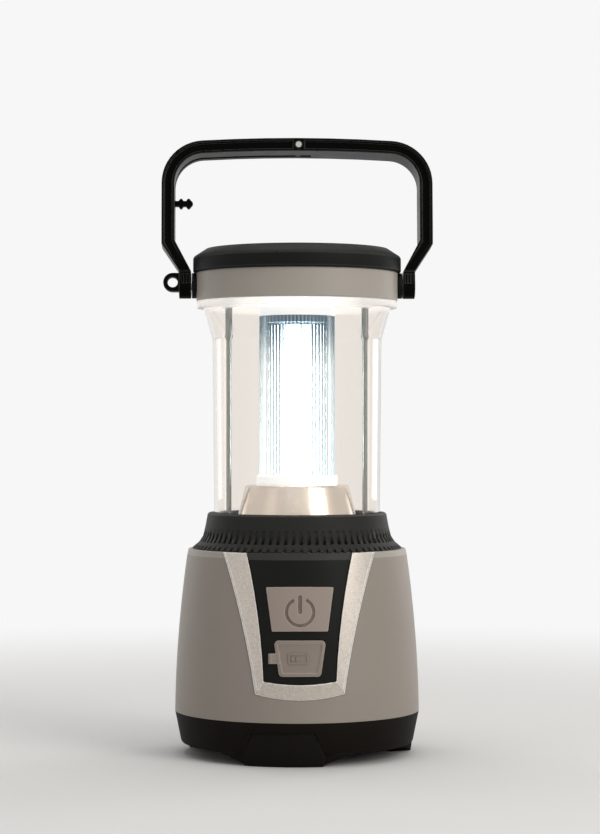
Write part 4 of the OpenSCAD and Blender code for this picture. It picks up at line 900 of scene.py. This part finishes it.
def rounded(node, width, keep=any_edge):
    """A copy whose edges are rounded by a bevel of this width in millimetres.

    The new faces are marked in the colour layer rim, which the finishes read to make them lighter,
    as wear and painted highlight.
    keep picks the edges, where a piece must stay crisp in some places."""
    bm = merged_copy(node)
    bmesh.ops.remove_doubles(bm, verts=bm.verts, dist=SHORTEST)
    sharp = set(sharp_edges(bm, SHARP))
    chosen = [e for e in bm.edges if e in sharp and keep(e) and has_room(e, sharp, width * MM)]
    rim = bm.loops.layers.float_color.new("rim")
    for f in bm.faces:
        for loop in f.loops:
            loop[rim] = (0, 0, 0, 1)
    new = bmesh.ops.bevel(bm, geom=chosen, offset=width * MM, offset_type="OFFSET",
                          segments=SEGMENTS, profile=0.5, affect="EDGES", clamp_overlap=False,
                          material=-1)
    for f in new["faces"]:
        for loop in f.loops:
            loop[rim] = (1, 1, 1, 1)
    put_back(bm, node, STRAY * width * MM)
    if node in groove_depth:
        mark_grooves(bm, groove_depth[node] * MM)
    return stand_in(bm, node + "_finished", node, crease.get(node, 32))


# %% Round the pieces that show
groove_depth = {"power_button": 0.3}  # millimetres under the outline
crease = {"body_shell": 8, "bezel_frame": 8, "control_panel": 8, "bail": 20}  # degrees kept sharp
edge_width = {
    "body_shell": 0.25, "bezel_frame": 0.28, "control_panel": 0.15, "port_cover": 0.2,
    "base_skirt": 0.30, "rubber_feet": 0.35, "head_ring": 0.60, "top_cap": 0.5,
    "left_pivot_pad": 0.2, "right_pivot_pad": 0.2, "bail": 0.35, "hook": 0.20, "top_collar": 0.2,
    "lower_collar": 0.2, "power_button": 0.22, "knurled_ring": 0.35,
}
shell_low, shell_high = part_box("body_shell")
ring_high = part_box("knurled_ring")[1].z


def shell_ends(edge):
    """The shell's seam and its top: the recess for the bezel keeps its crisp corner."""
    return all(v.co.z > shell_high.z - 4 * MM for v in edge.verts) or all(
        v.co.z < shell_low.z + 0.5 * MM for v in edge.verts)


def ring_top(edge):
    """The ring's upper rim: its knurls keep their crisp corners."""
    return all(v.co.z > ring_high - 1.0 * MM for v in edge.verts)


picked = {"body_shell": shell_ends, "knurled_ring": ring_top}
for node, width in edge_width.items():
    made = rounded(node, width, keep=picked.get(node, any_edge))
    print("rounded", node, len(made.data.polygons), "faces")

# %% [markdown]
# ## The crosses of the base screws
# The base is held by three screws whose heads face the ground. Each head is driven by a cross. The
# flat end of the head is cut by lines on both sides of each arm, which leaves a grid of small
# faces, and the ones that lie in the cross are pushed in together. The extrude operator stores its
# new faces in no fixed order, so they are numbered by place afterwards: every run gives one result.

# %% Cut lines across a head
AT_BOTTOM = 0.1 * MM


def looks_down(face):
    return face.normal.z < -0.99


def arm_lines(bm, middle, reach, halves):
    """Cuts one flat face by lines along X and Y at these distances on both sides of its middle."""
    for axis in (Vector((1, 0, 0)), Vector((0, 1, 0))):
        for away in [sign * half for half in halves for sign in (-1, 1)]:
            near = [f for f in bm.faces
                    if looks_down(f) and (f.calc_center_median() - middle).length < reach]
            edges = [e for e in bm.edges if any(f in near for f in e.link_faces)]
            corners = [v for v in bm.verts if any(f in near for f in v.link_faces)]
            bmesh.ops.bisect_plane(bm, geom=near + edges + corners,
                                   plane_co=middle + axis * away, plane_no=axis)


# %% Number a mesh by place
def in_order(bm):
    """Points are stored by where they lie, and edges and faces by the points that they join."""
    def joined(part):
        return sorted(v.index for v in part.verts)

    for parts, key in ((bm.verts, lambda v: tuple(v.co)), (bm.edges, joined), (bm.faces, joined)):
        for number, part in enumerate(sorted(parts, key=key)):
            part.index = number
        parts.sort()


# %% Push the crosses in
def crossed_heads(node, arm_wide, arm_long, deep):
    """A copy of the screws with a cross, in millimetres, pushed into each head from below."""
    bm = merged_copy(node)
    lowest = min(v.co.z for v in bm.verts)
    middles = []
    for f in bm.faces:
        middle = f.calc_center_median()
        if looks_down(f) and middle.z < lowest + AT_BOTTOM:
            middles.append((middle, max((v.co - middle).length for v in f.verts)))
    wide, long = arm_wide / 2 * MM, arm_long / 2 * MM
    for middle, reach in middles:
        arm_lines(bm, middle, reach, (wide, long))
    crosses = []
    for middle, reach in middles:
        for f in bm.faces:
            away = f.calc_center_median() - middle
            x, y = sorted((abs(away.x), abs(away.y)))
            if looks_down(f) and away.length < reach and x < wide and y < long:
                crosses.append(f)
    pushed = bmesh.ops.extrude_face_region(bm, geom=crosses)["geom"]
    bmesh.ops.delete(bm, geom=crosses, context="FACES")
    bmesh.ops.translate(bm, vec=(0, 0, deep * MM),
                        verts=[v for v in pushed if isinstance(v, bmesh.types.BMVert)])
    in_order(bm)
    return len(middles), stand_in(bm, node + "_finished", node)


heads, crossed = crossed_heads("base_screws", 1.0, 3.8, 1.0)
print("crosses cut into", heads, "heads,", len(crossed.data.polygons), "faces")

# %% [markdown]
# ## The mark on the port cover
# Moulded covers carry a small raised mark that says what the sockets are for. A plain battery
# outline is generic: four thin bars, a terminal and two cells. Each bar is a box cut into short
# lengths, and every point is then dropped onto the cover, so the mark follows its curve.

# %% The cover's surface, and a bar on it
cover_low, cover_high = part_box("port_cover")
cover_shape = bmesh.new()
cover_shape.from_mesh(nodes["port_cover"].data)
cover_surface = BVHTree.FromBMesh(cover_shape)
cover_shape.free()
MARK_RISE = 0.38 * MM
MARK_SUNK = 0.1 * MM
print("cover:", round((cover_high.x - cover_low.x) / MM, 1), "mm wide")


def mark_bar(bm, x, z, wide, high):
    """A thin box on the front of the cover, centred on x and z, in millimetres."""
    bar = bmesh.ops.create_cube(bm, size=1.0, matrix=Matrix.Translation((x * MM, 0, z * MM))
                                @ Matrix.Diagonal((wide * MM, MM, high * MM, 1)))
    along = [e for e in bm.edges if e.verts[0] in bar["verts"]
             and abs(e.verts[0].co.x - e.verts[1].co.x) > 0.5 * wide * MM]
    bmesh.ops.subdivide_edges(bm, edges=along, cuts=6, use_grid_fill=True)


# %% The raised battery mark
MARK_FROM_SIDE = 11.8  # millimetres from the cover's side to the mark's middle
IN_FRONT = -0.1
BACKWARDS = Vector((0, 1, 0))
# x and z of each bar's middle from the mark's own middle, then its width and height, in millimetres
mark_bars = (
    (0, 1.9, 8.8, 0.8), (0, -1.9, 8.8, 0.8), (-4.0, 0, 0.8, 3.1), (4.0, 0, 0.8, 3.1),
    (4.85, 0, 0.9, 1.5), (-2.3, 0, 1.3, 2.1), (-0.3, 0, 1.3, 2.1),
)


def battery_mark():
    """The bars as one piece that lies on the cover and swings with it."""
    bm = bmesh.new()
    mid_x = cover_high.x / MM - MARK_FROM_SIDE
    mid_z = (cover_low.z + cover_high.z) / 2 / MM
    for x, z, wide, high in mark_bars:
        mark_bar(bm, mid_x + x, mid_z + z, wide, high)
    for v in bm.verts:
        raised = v.co.y < 0
        hit = cover_surface.ray_cast(Vector((v.co.x, IN_FRONT, v.co.z)), BACKWARDS)[0]
        v.co.y = hit.y - MARK_RISE if raised else hit.y + MARK_SUNK
    for f in bm.faces:
        f.smooth = False
    mesh = bpy.data.meshes.new("charge_mark")
    bm.to_mesh(mesh)
    bm.free()
    made = link_new("charge_mark", mesh)
    made.data.materials.append(finish["flap_rubber"])
    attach(made, "flap")
    return made


print("charge mark:", len(battery_mark().data.polygons), "faces")
